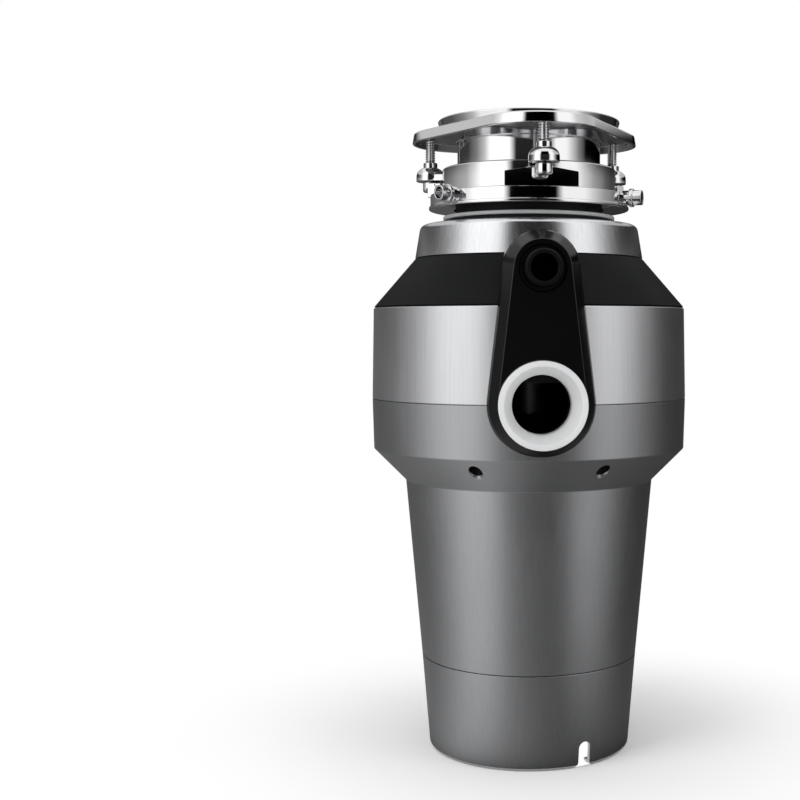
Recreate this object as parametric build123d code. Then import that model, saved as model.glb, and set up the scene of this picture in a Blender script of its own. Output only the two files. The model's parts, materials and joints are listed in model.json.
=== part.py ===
from build123d import *
import math
import os

# A garbage disposal that hangs under a kitchen sink, in millimetres, with +Z up.
# The origin is on the shaft axis, in the plane that the base stands on, and the outlet faces -Y.
# An angle is measured about +Z from the outlet, and is positive towards +X.

# Outer shells, from the base upwards
base_h = 56.1
base_taper = 4.55
base_wall = 2.5
foot_round = 2.6
foot_w = 6.0
foot_t = 3.2
motor_h = 105.2
motor_taper = 9.35
flare_h = 19.1
belly_lean = 0.8
belt_h = 30.0
upper_h = 53.6
shoulder_lean = 1.0
shoulder_h = 29.2
shoulder_wall = 2.9
cap_r = 68.2
cap_taper = 3.3
cap_h = 19.8
cap_round = 4.0
shell_wall = 2.2

# Seams between shells, each with a locating lip inside it
seam_gap = 0.4
lip_h = 4.0
lip_wall = 1.4
lip_slip = 0.25
lip_root = 0.6

# Clearances
press_gap = 0.02
run_gap = 0.05
close_gap = 0.1
soft_gap = 0.3
screw_gap = 0.2
moving_gap = 0.6
lock_slip = 1.0
cut_margin = 1.0

# Base plate and what sits on it
base_recess = 20.0
plate_t = 2.5
wrench_hole_r = 9.5
notch_angle = 27.3
notch_w = 7.5
notch_h = 14.9
base_screw_inset = 7.5
base_screw_r = 2.0
base_screw_head_r = 4.0
base_screw_head_h = 2.4
base_screw_l = 16.0
base_screw_tip_gap = 2.0
base_screw_angles = (0.0, 120.0, 240.0)
gland_r = 6.8
gland_bore_r = 3.6
gland_flange_r = 9.2
gland_flange_t = 2.0
gland_nut_t = 4.0
gland_nut_af = 15.8
gland_tail = 6.0
gland_inset = 9.0
terminal_x = 26.0
terminal_y = 14.0
terminal_h = 12.0
terminal_pitch = 8.7
terminal_bore_r = 2.2
terminal_bore_depth = 5.0
terminal_inset = 18.0
terminal_hole_x = 20.0
terminal_hole_y = 8.0
terminal_cover_x = 46.0
terminal_cover_y = 20.0
terminal_cover_t = 1.5
terminal_cover_round = 3.0
cover_screw_x = 18.5
cover_screw_r = 1.6
cover_screw_head_r = 3.0
cover_screw_head_h = 1.8
cover_screw_tip = 1.0
overload_x = 20.0
overload_y = 18.0
overload_h = 14.0
overload_round = 2.0
overload_inset = 15.0
button_r = 4.4
button_reach = 6.0
button_l = 15.0
button_round = 0.8
button_travel = 3.0
button_hole_r = 6.0
relay_x = 20.0
relay_y = 16.0
relay_h = 15.0
relay_round = 1.5
relay_inset = 15.0
capacitor_r = 9.0
capacitor_l = 32.0
capacitor_inset = 11.0
capacitor_angle = -40.0

# Motor
lower_bay_h = 21.5
web_t = 5.0
bell_cover = 2.5
bell_wall = 6.5
lower_rim_h = 21.0
stator_r = 56.0
stator_bore_r = 30.0
stator_h = 55.0
slot_count = 24
slot_w = 4.6
tooth_tip = 3.5
yoke_w = 9.5
slot_mouth_w = 2.2
slot_overlap = 1.0
winding_in = 1.0
winding_out = 2.0
winding_h = 13.0
winding_round = 4.0
winding_overlap = 1.0
upper_rim_h = 25.0
bell_window_w = 26.0
bell_window_h = 10.0
bell_window_lift = 4.0
lower_window_w = 13.0
lower_window_count = 6
lower_window_start = 15.0
upper_window_count = 4
hub_wall = 3.95
hub_drop = 9.0
upper_hub_rise = 12.0
bush_wall = 4.0
adapter_wall = 4.5
adapter_flange_w = 5.0
adapter_flange_t = 4.0
post_r = 4.6
bolt_inset = 4.4
bolt_r = 2.5
bolt_head_af = 7.6
bolt_head_h = 3.4
bolt_count = 4
bolt_start = 45.0
foam_gap = 0.5
foam_t = 3.0
foam_stop = 10.0
foam_slip = 0.75

# Rotor
shaft_r = 7.0
shaft_drop = 9.5
collar_w = 3.0
collar_h = 6.0
washer_t = 1.5
washer_rim = 1.0
hex_af = 6.35
hex_depth = 8.0
air_gap = 0.6
cage_ring_h = 6.0
cage_ring_w = 9.0
cage_inset = 1.0
cage_fin_count = 6
cage_fin_h = 9.0
cage_fin_t = 2.0
slinger_reach = 10.0
slinger_t = 3.0
slinger_rise = 2.0
slinger_hub = 4.0

# Wet chamber under the turntable
chamber_r = 76.0
chamber_wall = 3.5
floor_t = 3.5
floor_drop = 4.7
chamber_flange_w = 7.8
chamber_flange_room = 5.8
chamber_flange_t = 3.8
chamber_hub_h = 14.0
seal_wall = 5.0
seal_lift = 1.5
seal_seat = 1.0
seal_lip_w = 1.5
seal_groove_depth = 3.0
ledge_z = 11.0
adapter_screw_r = 2.0
adapter_screw_head_r = 3.8
adapter_screw_head_h = 2.6
adapter_screw_stand = 4.5
adapter_screw_count = 4
adapter_screw_start = 45.0
gasket_t = 1.5
flange_screw_r = 2.1
flange_screw_head_af = 6.6
flange_screw_head_h = 3.0
flange_screw_inset = 4.0
flange_screw_count = 6
flange_screw_start = 30.0

# Screws that hold the lower shell, deep in the two holes of the flare
shell_screw_inset = 7.5
shell_screw_angles = (-24.0, 24.0, 156.0, 204.0)
shell_screw_hole_r = 3.75
shell_screw_r = 2.0
shell_screw_head_r = 3.4
shell_screw_head_h = 2.4
shell_boss_wall = 1.3
shell_boss_rise = 9.0
shell_boss_seat = 3.0
ear_w = 9.2
ear_t = 7.0

# Hopper, grind ring and turntable
hopper_step = 2.2
hopper_wall = 3.2
hopper_flange_t = 3.5
cone_drop = 2.0
hopper_slant = 4.1
neck_drop = 11.0
neck_step = 1.25
neck_wall = 3.0
neck_flange_w = 6.0
neck_flange_t = 2.5
grind_wall = 3.0
grind_h = 22.0
grind_slot_count = 24
grind_slot_w = 5.0
grind_slot_h = 9.0
grind_slot_drop = 1.0
turntable_gap = 1.2
turntable_rise = 4.0
turntable_t = 3.0
turntable_hub_w = 5.0
turntable_hub_h = 12.0
turntable_skirt_w = 6.0
turntable_skirt_gap = 1.5
turntable_holes = 8
turntable_hole_r = 3.0
turntable_hole_inset = 10.6
turntable_hole_start = 22.5
thread_step = 2.0
thread_l = 9.0
nut_af = 17.0
nut_h = 6.0
impeller_inset = 25.6
impeller_reach = 17.0
impeller_heel = 4.0
impeller_w = 16.0
impeller_base_t = 5.0
impeller_tooth_h = 8.0
impeller_tooth_l = 9.0
impeller_lift = 0.3
pin_r = 4.0
pin_head_r = 6.5
pin_head_t = 2.4
hopper_foam_gap = 1.3
hopper_foam_lift = 4.0

# Outlet side: black housing, white spigot and inlet nipple
outlet_rise = 0.2
port_pitch = 72.5
housing_low_r = 28.4
housing_high_r = 20.0
housing_stand = 6.0
housing_bite = 6.9
housing_wall = 3.0
housing_inset = 4.6
housing_inset_depth = 7.0
housing_fit = 0.25
spigot_r = 23.8
spigot_stand = 4.5
spigot_seat = 2.0
spigot_rim = 3.0
spigot_bore_r = 16.1
spigot_cone = 10.0
spigot_tube_r = 19.5
duct_wall = 3.2
duct_room = 7.8
duct_bore_r = 16.4
duct_gasket_t = 1.5
nipple_r = 9.5
nipple_bore_r = 7.2
nipple_reach = 10.0
nipple_socket = 7.0
nipple_barb = 0.7
nipple_barb_l = 4.0
nipple_recess_r = 12.3
nipple_recess = 3.0
nipple_boss_wall = 3.4
nipple_boss_room = 3.0
plug_t = 1.6
plug_inset = 1.0

# Neck, from the top cap up to the locking ring
seal_web = 2.3
seal_w = 1.9
seal_h = 3.0
seal_tail = 4.0
neck_lip_w = 2.9
neck_lip_h = 2.2
lock_lift = 3.8

# Locking ring
lock_reach = 7.2
lock_wall = 1.8
lock_band_h = 9.0
lock_web_t = 2.0
lock_bead = 0.9
lock_bead_h = 2.0
lock_bead_edge = 0.3
hook_h = 9.0
hook_w = 42.0
hook_peak = 1.5
hook_shoulder = 1.0
hook_flat_w = 12.6
hook_lip_t = 2.7
hook_lip_gap = 1.4
lug_r = 4.4
lug_bore_r = 3.2
lug_collar_r = 5.4
lug_collar_w = 2.4
lug_reach = 10.5
lug_collar_stand = 3.0
lug_rise = 6.0
lug_floor = 1.0
lug_turn = -54.5

# Sink mount
mount_angle = 3.0
mount_angles = (3.0, 123.0, 243.0)
guard_bead_h = 3.5
guard_wall = 1.6
guard_skirt = 3.0
guard_curtain = 11.0
guard_flap_t = 2.0
guard_hole_r = 12.0
guard_slit_w = 1.2
guard_slit_r = 34.0
guard_slits = 8
guard_slit_overlap = 2.0
mount_ring_step = 1.8
mount_ring_wall = 2.0
mount_ring_h = 15.0
ramp_slip = 0.4
ramp_t = 2.2
ramp_half = 19.0
ear_screw_room = 1.5
ear_boss_r = 8.75
ear_boss_h = 8.7
ear_dome = 5.6
ear_arm_w = 13.0
ear_arm_t = 4.6
ear_hook_gap = 0.8
ear_collar_r = 4.3
ear_collar_h = 3.0
sleeve_r = 42.75
sleeve_wall = 1.5
sleeve_h = 43.2
snap_stand = 3.25
snap_t = 2.0
snap_groove = 0.6
snap_opening = 6.0
rim_w = 11.75
rim_taper = 1.5
rim_h = 4.7
rim_lip = 2.6
rim_dish = 3.0
rim_edge = 1.4
flange_gasket_inset = 1.0
backup_edge = 7.9
backup_lobe_r = 35.5
backup_t = 1.8
backup_skirt = 6.4
backup_collar_t = 1.2
mount_screw_r = 3.175
mount_screw_head_r = 4.7
mount_screw_head_h = 6.2
mount_screw_slot = 1.2

# Heights of the shells
waist_z = base_h + motor_h
belly_z = waist_z + flare_h
belt_z = belly_z + belt_h
shoulder_z = belt_z + upper_h
cap_z = shoulder_z + shoulder_h
cap_top_z = cap_z + cap_h

# Heights inside
outlet_z = belt_z + outlet_rise
inlet_z = outlet_z + port_pitch
plate_z = base_recess + plate_t
lower_web_z = plate_z + lower_bay_h
stator_z = lower_web_z + web_t + lower_rim_h
stator_top_z = stator_z + stator_h
upper_web_z = stator_top_z + upper_rim_h
upper_hub_z = upper_web_z + web_t + upper_hub_rise
duct_r = duct_bore_r + duct_wall
floor_z = outlet_z - duct_bore_r - floor_drop
chamber_z = floor_z - floor_t
chamber_top_z = outlet_z + duct_r + chamber_flange_t
hopper_z = chamber_top_z + gasket_t
cone_z = shoulder_z - cone_drop
neck_z = cap_top_z - neck_drop
turntable_z = chamber_top_z + turntable_rise
turntable_top_z = turntable_z + turntable_t

# Heights of the neck and the mount
neck_lip_z = cap_top_z + seal_h
lock_z = neck_lip_z + neck_lip_h + lock_lift
lock_top_z = lock_z + lock_band_h
neck_flange_z = lock_z + lock_web_t + lock_slip
neck_top_z = neck_flange_z + neck_flange_t
guard_top_z = neck_top_z + guard_bead_h
sleeve_z = guard_top_z + soft_gap
flange_top_z = sleeve_z + sleeve_h
rim_z = flange_top_z - rim_h
backup_z = rim_z - backup_skirt
mount_ring_top_z = sleeve_z + mount_ring_h
hook_top_z = lock_top_z + hook_h
mount_ear_z = hook_top_z + hook_peak + ear_hook_gap

# Radii of the motor and the shaft
slot_low_r = stator_bore_r + tooth_tip
slot_high_r = stator_r - yoke_w
winding_low_r = slot_low_r - winding_in
winding_high_r = slot_high_r + winding_out
bolt_pcd_r = stator_r - bolt_inset
bell_r = stator_r + bell_cover
bell_inner_r = bell_r - bell_wall
adapter_screw_pcd_r = bell_r + adapter_screw_stand
adapter_flange_r = adapter_screw_pcd_r + adapter_flange_w
base_screw_pcd_r = bell_r - base_screw_inset
rotor_r = stator_bore_r - air_gap
bush_r = shaft_r + run_gap + bush_wall
hub_r = bush_r + hub_wall
collar_r = shaft_r + collar_w
thread_r = shaft_r - thread_step
slinger_r = shaft_r + slinger_reach

# Places on the base plate
gland_seat_r = base_screw_pcd_r - gland_inset
terminal_seat_r = base_screw_pcd_r - terminal_inset
overload_seat_r = base_screw_pcd_r - overload_inset
relay_seat_r = base_screw_pcd_r - relay_inset
capacitor_seat_r = base_screw_pcd_r - capacitor_inset

# Radii of the wet chamber
chamber_inner_r = chamber_r - chamber_wall
hopper_r = chamber_r + hopper_step
chamber_flange_r = hopper_r + chamber_flange_w
flange_screw_pcd_r = chamber_flange_r - flange_screw_inset
grind_r = hopper_r - hopper_wall - screw_gap
turntable_r = grind_r - grind_wall - turntable_gap
turntable_hole_pcd_r = turntable_r - turntable_hole_inset
turntable_skirt_r = shaft_r + turntable_skirt_w
turntable_hub_r = turntable_skirt_r + turntable_hub_w
impeller_pivot_r = turntable_r - impeller_inset

# Radii of the shells, which clear the motor and the chamber
base_top_r = bell_r + foam_gap + foam_t + foam_slip + shell_wall
base_foot_r = base_top_r - base_taper
waist_r = base_top_r + motor_taper
belt_r = chamber_flange_r + chamber_flange_room + shell_wall
belly_r = belt_r - belly_lean
shoulder_r = belt_r - shoulder_lean
cap_top_r = cap_r - cap_taper
shell_screw_pcd_r = belly_r - shell_screw_inset

# Distances of the outlet side from the shaft axis
duct_end = belt_r - shell_wall - duct_room
housing_front = belt_r + housing_stand
housing_back = cap_top_r - housing_bite
spigot_face = housing_front + spigot_stand
nipple_tip = housing_front + nipple_reach
nipple_boss_end = cap_r - shell_wall - nipple_boss_room
nipple_root = nipple_boss_end - nipple_socket
plug_seat = nipple_boss_end - plug_inset

# Radii of the neck and the mount, which follow from the sleeve
sleeve_bore_r = sleeve_r - sleeve_wall
neck_r = sleeve_r + neck_step
neck_bore_r = neck_r - neck_wall
neck_flange_r = neck_r + neck_flange_w
seal_bore_r = neck_r + soft_gap
cap_hole_r = seal_bore_r + seal_web
seal_r = cap_hole_r + seal_w
neck_lip_r = seal_r + neck_lip_w
lock_hole_r = neck_r + lock_slip
mount_ring_r = neck_flange_r + mount_ring_step
lock_r = mount_ring_r + lock_reach
ramp_reach = lock_r - lock_wall - mount_ring_r - ramp_slip
ear_pcd_r = lock_r + lock_bead + mount_screw_head_r + ear_screw_room
snap_r = sleeve_r + snap_stand
rim_r = sleeve_r + rim_w
rim_low_r = rim_r - rim_taper
flange_gasket_r = rim_low_r - rim_edge - flange_gasket_inset
backup_lobe_c = ear_pcd_r + backup_edge - backup_lobe_r


def turned(*corners):
    """A solid turned about the shaft axis, from corners given as radius and height."""
    outline = make_face(Polyline(*corners, close=True))
    return revolve(Plane.XZ * outline, Axis.Z)


def tube(outer_r, inner_r, low, high):
    """A plain ring round the shaft axis."""
    return turned((inner_r, low), (outer_r, low), (outer_r, high), (inner_r, high))


def rod(radius, low, high, x=0.0, y=0.0):
    """An upright cylinder."""
    upright = Cylinder(radius, high - low, align=(Align.CENTER, Align.CENTER, Align.MIN))
    return Pos(x, y, low) * upright


def block(x_size, y_size, low, high, x=0.0, y=0.0):
    """A box given by its two heights."""
    upright = Box(x_size, y_size, high - low, align=(Align.CENTER, Align.CENTER, Align.MIN))
    return Pos(x, y, low) * upright


def drill(radius, height, near, far):
    """A cylinder that points at the outlet side, between two distances from the shaft axis."""
    bar = Cylinder(radius, far - near, align=(Align.CENTER, Align.CENTER, Align.MIN))
    return Pos(0, -near, height) * Rot(90, 0, 0) * bar


def turn(shape, angle):
    """Turns a shape that was made on the outlet side to its own angle."""
    return Rot(0, 0, angle) * shape


def group(shapes):
    """Separate solids that share a node."""
    return Compound(children=list(shapes))


def even(count, start=0.0):
    """Evenly spaced angles."""
    return [start + 360.0 / count * step for step in range(count)]


def hexagon(across_flats, low, high, x=0.0, y=0.0):
    """An upright hexagonal bar."""
    outline = RegularPolygon(across_flats / 2, 6, major_radius=False)
    return Pos(x, y, low) * extrude(outline, high - low)


def upright_screw(radius, head_r, head_h, seat, length, y):
    """A pan head screw that points up, with its head under the seat."""
    shank = rod(radius, seat, seat + length, 0, y)
    head = rod(head_r, seat - head_h, seat, 0, y)
    recess = block(head_r, radius / 2, seat - head_h, seat - head_h / 2, 0, y)
    return shank + head - recess


def hanging_screw(radius, head_af, head_h, seat, length, y):
    """A hexagon head screw that points down, with its head on the seat."""
    shank = rod(radius, seat - length, seat, 0, y)
    return shank + hexagon(head_af, seat, seat + head_h, 0, y)


def seam_lip(seam_z, wall_r):
    """A locating lip that stands up inside the next shell."""
    inner_r = wall_r - lip_slip - lip_wall
    return turned(
        (inner_r, seam_z - lip_h),
        (wall_r + lip_root, seam_z - lip_h),
        (wall_r + lip_root, seam_z - seam_gap),
        (wall_r - lip_slip, seam_z - seam_gap),
        (wall_r - lip_slip, seam_z + lip_h),
        (inner_r, seam_z + lip_h),
    )


def wall_between(corners, wall):
    """A thin wall whose outside runs through the corners."""
    inside = [(radius - wall, height) for radius, height in reversed(corners)]
    return turned(*corners, *inside)


def port_holes():
    """The two holes that the spigot and the nipple need in the shells."""
    outlet = drill(spigot_tube_r + moving_gap, outlet_z, chamber_r, housing_front)
    inlet = drill(nipple_r + moving_gap, inlet_z, nipple_root, housing_front)
    return outlet + inlet


def make_base_cap():
    """Open skirt with a recessed plate, a cable notch and the holes of the plate."""
    slope = (base_top_r - base_foot_r) / base_h
    top = base_h - seam_gap
    skirt = wall_between([(base_foot_r, 0), (base_foot_r + slope * top, top)], base_wall)
    plate_r = base_foot_r + slope * base_recess - base_wall / 2
    body = skirt + rod(plate_r, base_recess, plate_z)
    body += tube(base_foot_r, base_foot_r - foot_w, 0, foot_t)
    body += seam_lip(base_h, base_top_r - shell_wall)
    foot_edge = body.edges().group_by(Axis.Z)[0].sort_by(SortBy.RADIUS)[-1]
    body = fillet(foot_edge, foot_round)
    notch = block(notch_w, 4 * foot_w, -1, notch_h, 0, -base_foot_r)
    notch = fillet(notch.edges().filter_by(Axis.Y).group_by(Axis.Z)[-1], notch_w / 2 - close_gap)
    body -= turn(notch, notch_angle)
    body -= rod(wrench_hole_r, 0, plate_z)
    for angle in base_screw_angles:
        body -= turn(rod(base_screw_r + screw_gap, 0, plate_z, 0, -base_screw_pcd_r), angle)
    body -= turn(rod(gland_r + close_gap, 0, plate_z, 0, -gland_seat_r), notch_angle)
    body -= rod(button_hole_r, 0, plate_z, -overload_seat_r, 0)
    body -= block(terminal_hole_x, terminal_hole_y, base_recess, plate_z, 0, terminal_seat_r)
    body -= rod(cover_screw_r + close_gap, base_recess, plate_z, cover_screw_x, terminal_seat_r)
    return body


def shell_screw_boss():
    """The blind tube behind a hole of the flare, with its seat at the top."""
    seat = belly_z + shell_boss_rise
    return rod(shell_screw_hole_r + shell_boss_wall, waist_z, seat, 0, -shell_screw_pcd_r)


def make_lower_shell():
    """Long lower shell: tapered motor part, flare and belt."""
    top = belt_z - seam_gap
    corners = [(base_top_r, base_h), (waist_r, waist_z), (belly_r, belly_z), (belt_r, top)]
    body = wall_between(corners, shell_wall)
    body += seam_lip(belt_z, belt_r - shell_wall)
    envelope = turned((0, base_h), *corners, (0, top))
    seat = belly_z + shell_boss_rise
    for angle in shell_screw_angles:
        body += turn(shell_screw_boss(), angle) & envelope
    for angle in shell_screw_angles:
        recess = rod(shell_screw_hole_r, waist_z, seat - shell_boss_seat, 0, -shell_screw_pcd_r)
        body -= turn(recess, angle)
        body -= turn(rod(shell_screw_r + screw_gap, waist_z, seat, 0, -shell_screw_pcd_r), angle)
    return body - port_holes()


def make_upper_shell():
    """Bright upper shell."""
    body = wall_between([(belt_r, belt_z), (shoulder_r, shoulder_z - seam_gap)], shell_wall)
    return body - port_holes()


def make_shoulder_cone():
    """Matte cone, with one lip down into the upper shell and one up into the top cap."""
    body = wall_between([(shoulder_r, shoulder_z), (cap_r, cap_z - seam_gap)], shoulder_wall)
    lip_r = shoulder_r - shell_wall - lip_slip
    low_lip = tube(lip_r, lip_r - lip_wall, shoulder_z - lip_h, shoulder_z + lip_root)
    low_lip += tube(lip_r, lip_r - lip_wall - lip_root, shoulder_z, shoulder_z + lip_root)
    cap_lean = (cap_r - cap_top_r) / cap_h
    high_r = cap_r - cap_lean * lip_h - shell_wall - lip_slip
    high_lip = tube(high_r, high_r - lip_wall, cap_z - lip_wall, cap_z + lip_h)
    high_lip += tube(cap_r - shoulder_wall / 2, high_r - lip_wall, cap_z - lip_wall, cap_z - seam_gap)
    return body + low_lip + high_lip - port_holes()


def make_top_cap():
    """Bright cap round the neck, with a rounded upper edge."""
    corners = [(cap_r, cap_z), (cap_top_r, cap_top_z)]
    body = wall_between(corners, shell_wall)
    body += tube(cap_top_r - shell_wall / 2, cap_hole_r, cap_top_z - shell_wall, cap_top_z)
    top_edge = body.edges().group_by(Axis.Z)[-1].sort_by(SortBy.RADIUS)[-1]
    body = fillet(top_edge, min(cap_round, shell_wall * 1.8))
    return body - port_holes()


def make_neck_seal():
    """Rubber seal between the top cap and the neck."""
    return turned(
        (seal_bore_r, cap_top_z - seal_tail),
        (cap_hole_r - close_gap, cap_top_z - seal_tail),
        (cap_hole_r - close_gap, cap_top_z),
        (seal_r, cap_top_z),
        (seal_r, neck_lip_z),
        (seal_bore_r, neck_lip_z),
    )


def make_neck_lip():
    """Pale ring that lies on the seal."""
    body = tube(neck_lip_r, seal_bore_r, neck_lip_z, neck_lip_z + neck_lip_h)
    rims = body.edges().filter_by(GeomType.CIRCLE).sort_by(SortBy.RADIUS)[-2:]
    return fillet(rims, neck_lip_h * 0.3)


def teardrop(low_r, high_r):
    """Face of the housing: two rounds joined by their tangents, in the plane of the outlet."""
    lean = math.asin((low_r - high_r) / port_pitch)
    low = (low_r * math.cos(lean), outlet_z + low_r * math.sin(lean))
    high = (high_r * math.cos(lean), inlet_z + high_r * math.sin(lean))
    outline = Line(low, high)
    outline += ThreePointArc(high, (0, inlet_z + high_r), (-high[0], high[1]))
    outline += Line((-high[0], high[1]), (-low[0], low[1]))
    outline += ThreePointArc((-low[0], low[1]), (0, outlet_z - low_r), low)
    return make_face(outline)


def housing_form(inset, front, back):
    """The teardrop as a solid between two distances from the shaft axis."""
    plane = Plane(origin=(0, -back, 0), x_dir=(1, 0, 0), z_dir=(0, -1, 0))
    return extrude(plane * teardrop(housing_low_r - inset, housing_high_r - inset), front - back)


def shell_envelope(gap):
    """Everything inside the outer shells, grown by a gap."""
    return turned(
        (0, 0),
        (base_top_r + gap, 0),
        (base_top_r + gap, base_h),
        (waist_r + gap, waist_z - gap),
        (belly_r + gap, belly_z - gap),
        (belt_r + gap, belt_z),
        (shoulder_r + gap, shoulder_z + gap),
        (cap_r + gap, cap_z + gap),
        (cap_top_r + gap, cap_top_z + gap),
        (0, cap_top_z + gap),
    )


def make_discharge_housing():
    """Glossy cover over both ports, hollow behind, shaped to the shells that it bears on."""
    body = housing_form(0, housing_front, housing_back)
    face = body.faces().sort_by(Axis.Y)[0]
    body = chamfer(face.edges(), housing_inset_depth, housing_inset, reference=face)
    hollow = housing_form(housing_wall, housing_front - housing_inset_depth - housing_wall, housing_back)
    hollow -= drill(spigot_tube_r + housing_wall, outlet_z, housing_back, housing_front)
    hollow -= drill(nipple_recess_r + housing_wall, inlet_z, housing_back, housing_front)
    body -= hollow
    body -= drill(spigot_tube_r + close_gap, outlet_z, housing_back, housing_front)
    body -= drill(spigot_r + close_gap, outlet_z, housing_front - spigot_seat, housing_front)
    body -= drill(nipple_r + close_gap, inlet_z, housing_back, housing_front)
    body -= drill(nipple_recess_r, inlet_z, housing_front - nipple_recess, housing_front)
    return body - shell_envelope(housing_fit)


def make_discharge_spigot():
    """White outlet ring: flat rim, cone down to the bore, and the tube that meets the duct."""
    tube_end = duct_end + duct_gasket_t
    outline = make_face(
        Polyline(
            (spigot_bore_r, tube_end),
            (spigot_tube_r, tube_end),
            (spigot_tube_r, housing_front - spigot_seat),
            (spigot_r, housing_front - spigot_seat),
            (spigot_r, spigot_face),
            (spigot_r - spigot_rim, spigot_face),
            (spigot_bore_r, spigot_face - spigot_cone),
            close=True,
        )
    )
    ring = revolve(Plane.XZ * outline, Axis.Z)
    face_edge = ring.edges().group_by(Axis.Z)[-1]
    ring = fillet(face_edge, spigot_rim / 4)
    return Pos(0, 0, outlet_z) * Rot(90, 0, 0) * ring


def make_duct_gasket():
    """Rubber ring between the duct and the spigot."""
    ring = drill(duct_r - close_gap, outlet_z, duct_end, duct_end + duct_gasket_t)
    return ring - drill(duct_bore_r + close_gap, outlet_z, duct_end, duct_end + duct_gasket_t)


def make_inlet_nipple():
    """Hose nipple for a dishwasher, which plugs into the hopper."""
    body = drill(nipple_r, inlet_z, nipple_root, nipple_tip)
    upright = (Align.CENTER, Align.CENTER, Align.MAX)
    barb = Cone(nipple_r, nipple_r + nipple_barb, nipple_barb_l, align=upright)
    body += Pos(0, -nipple_tip + nipple_barb_l, inlet_z) * Rot(-90, 0, 0) * barb
    body -= drill(nipple_bore_r, inlet_z, nipple_root, nipple_tip)
    return body


def make_knockout_plug():
    """Disc that closes the nipple until a dishwasher is joined to it."""
    return drill(nipple_bore_r - press_gap, inlet_z, plug_seat, plug_seat + plug_t)


def make_hopper():
    """Upper part of the grind chamber, with its neck and the socket of the nipple."""
    slope = (hopper_r - neck_r) / (neck_z - cone_z)
    inner_cone_z = cone_z + (hopper_r - hopper_slant - (hopper_r - hopper_wall)) / slope
    inner_neck_z = cone_z + (hopper_r - hopper_slant - neck_bore_r) / slope
    body = turned(
        (hopper_r - hopper_wall, hopper_z),
        (chamber_flange_r, hopper_z),
        (chamber_flange_r, hopper_z + hopper_flange_t),
        (hopper_r, hopper_z + hopper_flange_t),
        (hopper_r, cone_z),
        (neck_r, neck_z),
        (neck_r, neck_flange_z),
        (neck_flange_r, neck_flange_z),
        (neck_flange_r, neck_top_z),
        (neck_bore_r, neck_top_z),
        (neck_bore_r, inner_neck_z),
        (hopper_r - hopper_wall, inner_cone_z),
    )
    inside = turned(
        (0, hopper_z),
        (hopper_r - hopper_wall, hopper_z),
        (hopper_r - hopper_wall, inner_cone_z),
        (neck_bore_r, inner_neck_z),
        (neck_bore_r, neck_top_z),
        (0, neck_top_z),
    )
    socket = drill(nipple_r + close_gap + nipple_boss_wall, inlet_z, neck_bore_r, nipple_boss_end)
    body += socket - inside
    body -= drill(nipple_r + close_gap, inlet_z, neck_bore_r, hopper_r)
    for angle in even(flange_screw_count, flange_screw_start):
        hole = rod(flange_screw_r + screw_gap, hopper_z, hopper_z + hopper_flange_t, 0, -flange_screw_pcd_r)
        body -= turn(hole, angle)
    return body


def make_chamber_gasket():
    """Flat rubber ring between the two halves of the chamber."""
    body = tube(chamber_flange_r, grind_r + screw_gap, chamber_top_z, hopper_z)
    for angle in even(flange_screw_count, flange_screw_start):
        hole = rod(flange_screw_r + screw_gap, chamber_top_z, hopper_z, 0, -flange_screw_pcd_r)
        body -= turn(hole, angle)
    return body


def make_flange_screws():
    """Screws that pull the hopper down on the lower chamber."""
    seat = hopper_z + hopper_flange_t
    length = seat - chamber_top_z + chamber_flange_t
    head_af = flange_screw_head_af
    screw = hanging_screw(flange_screw_r, head_af, flange_screw_head_h, seat, length, -flange_screw_pcd_r)
    return group(turn(screw, angle) for angle in even(flange_screw_count, flange_screw_start))


def make_grind_ring():
    """Hardened ring with grinding slots, seated on the wall of the lower chamber."""
    body = tube(grind_r, grind_r - grind_wall, chamber_top_z, chamber_top_z + grind_h)
    slot_z = turntable_top_z - grind_slot_drop
    slot = block(grind_slot_w, grind_wall * 3, slot_z, slot_z + grind_slot_h, 0, -grind_r)
    for angle in even(grind_slot_count):
        body -= turn(slot, angle)
    return body


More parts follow.
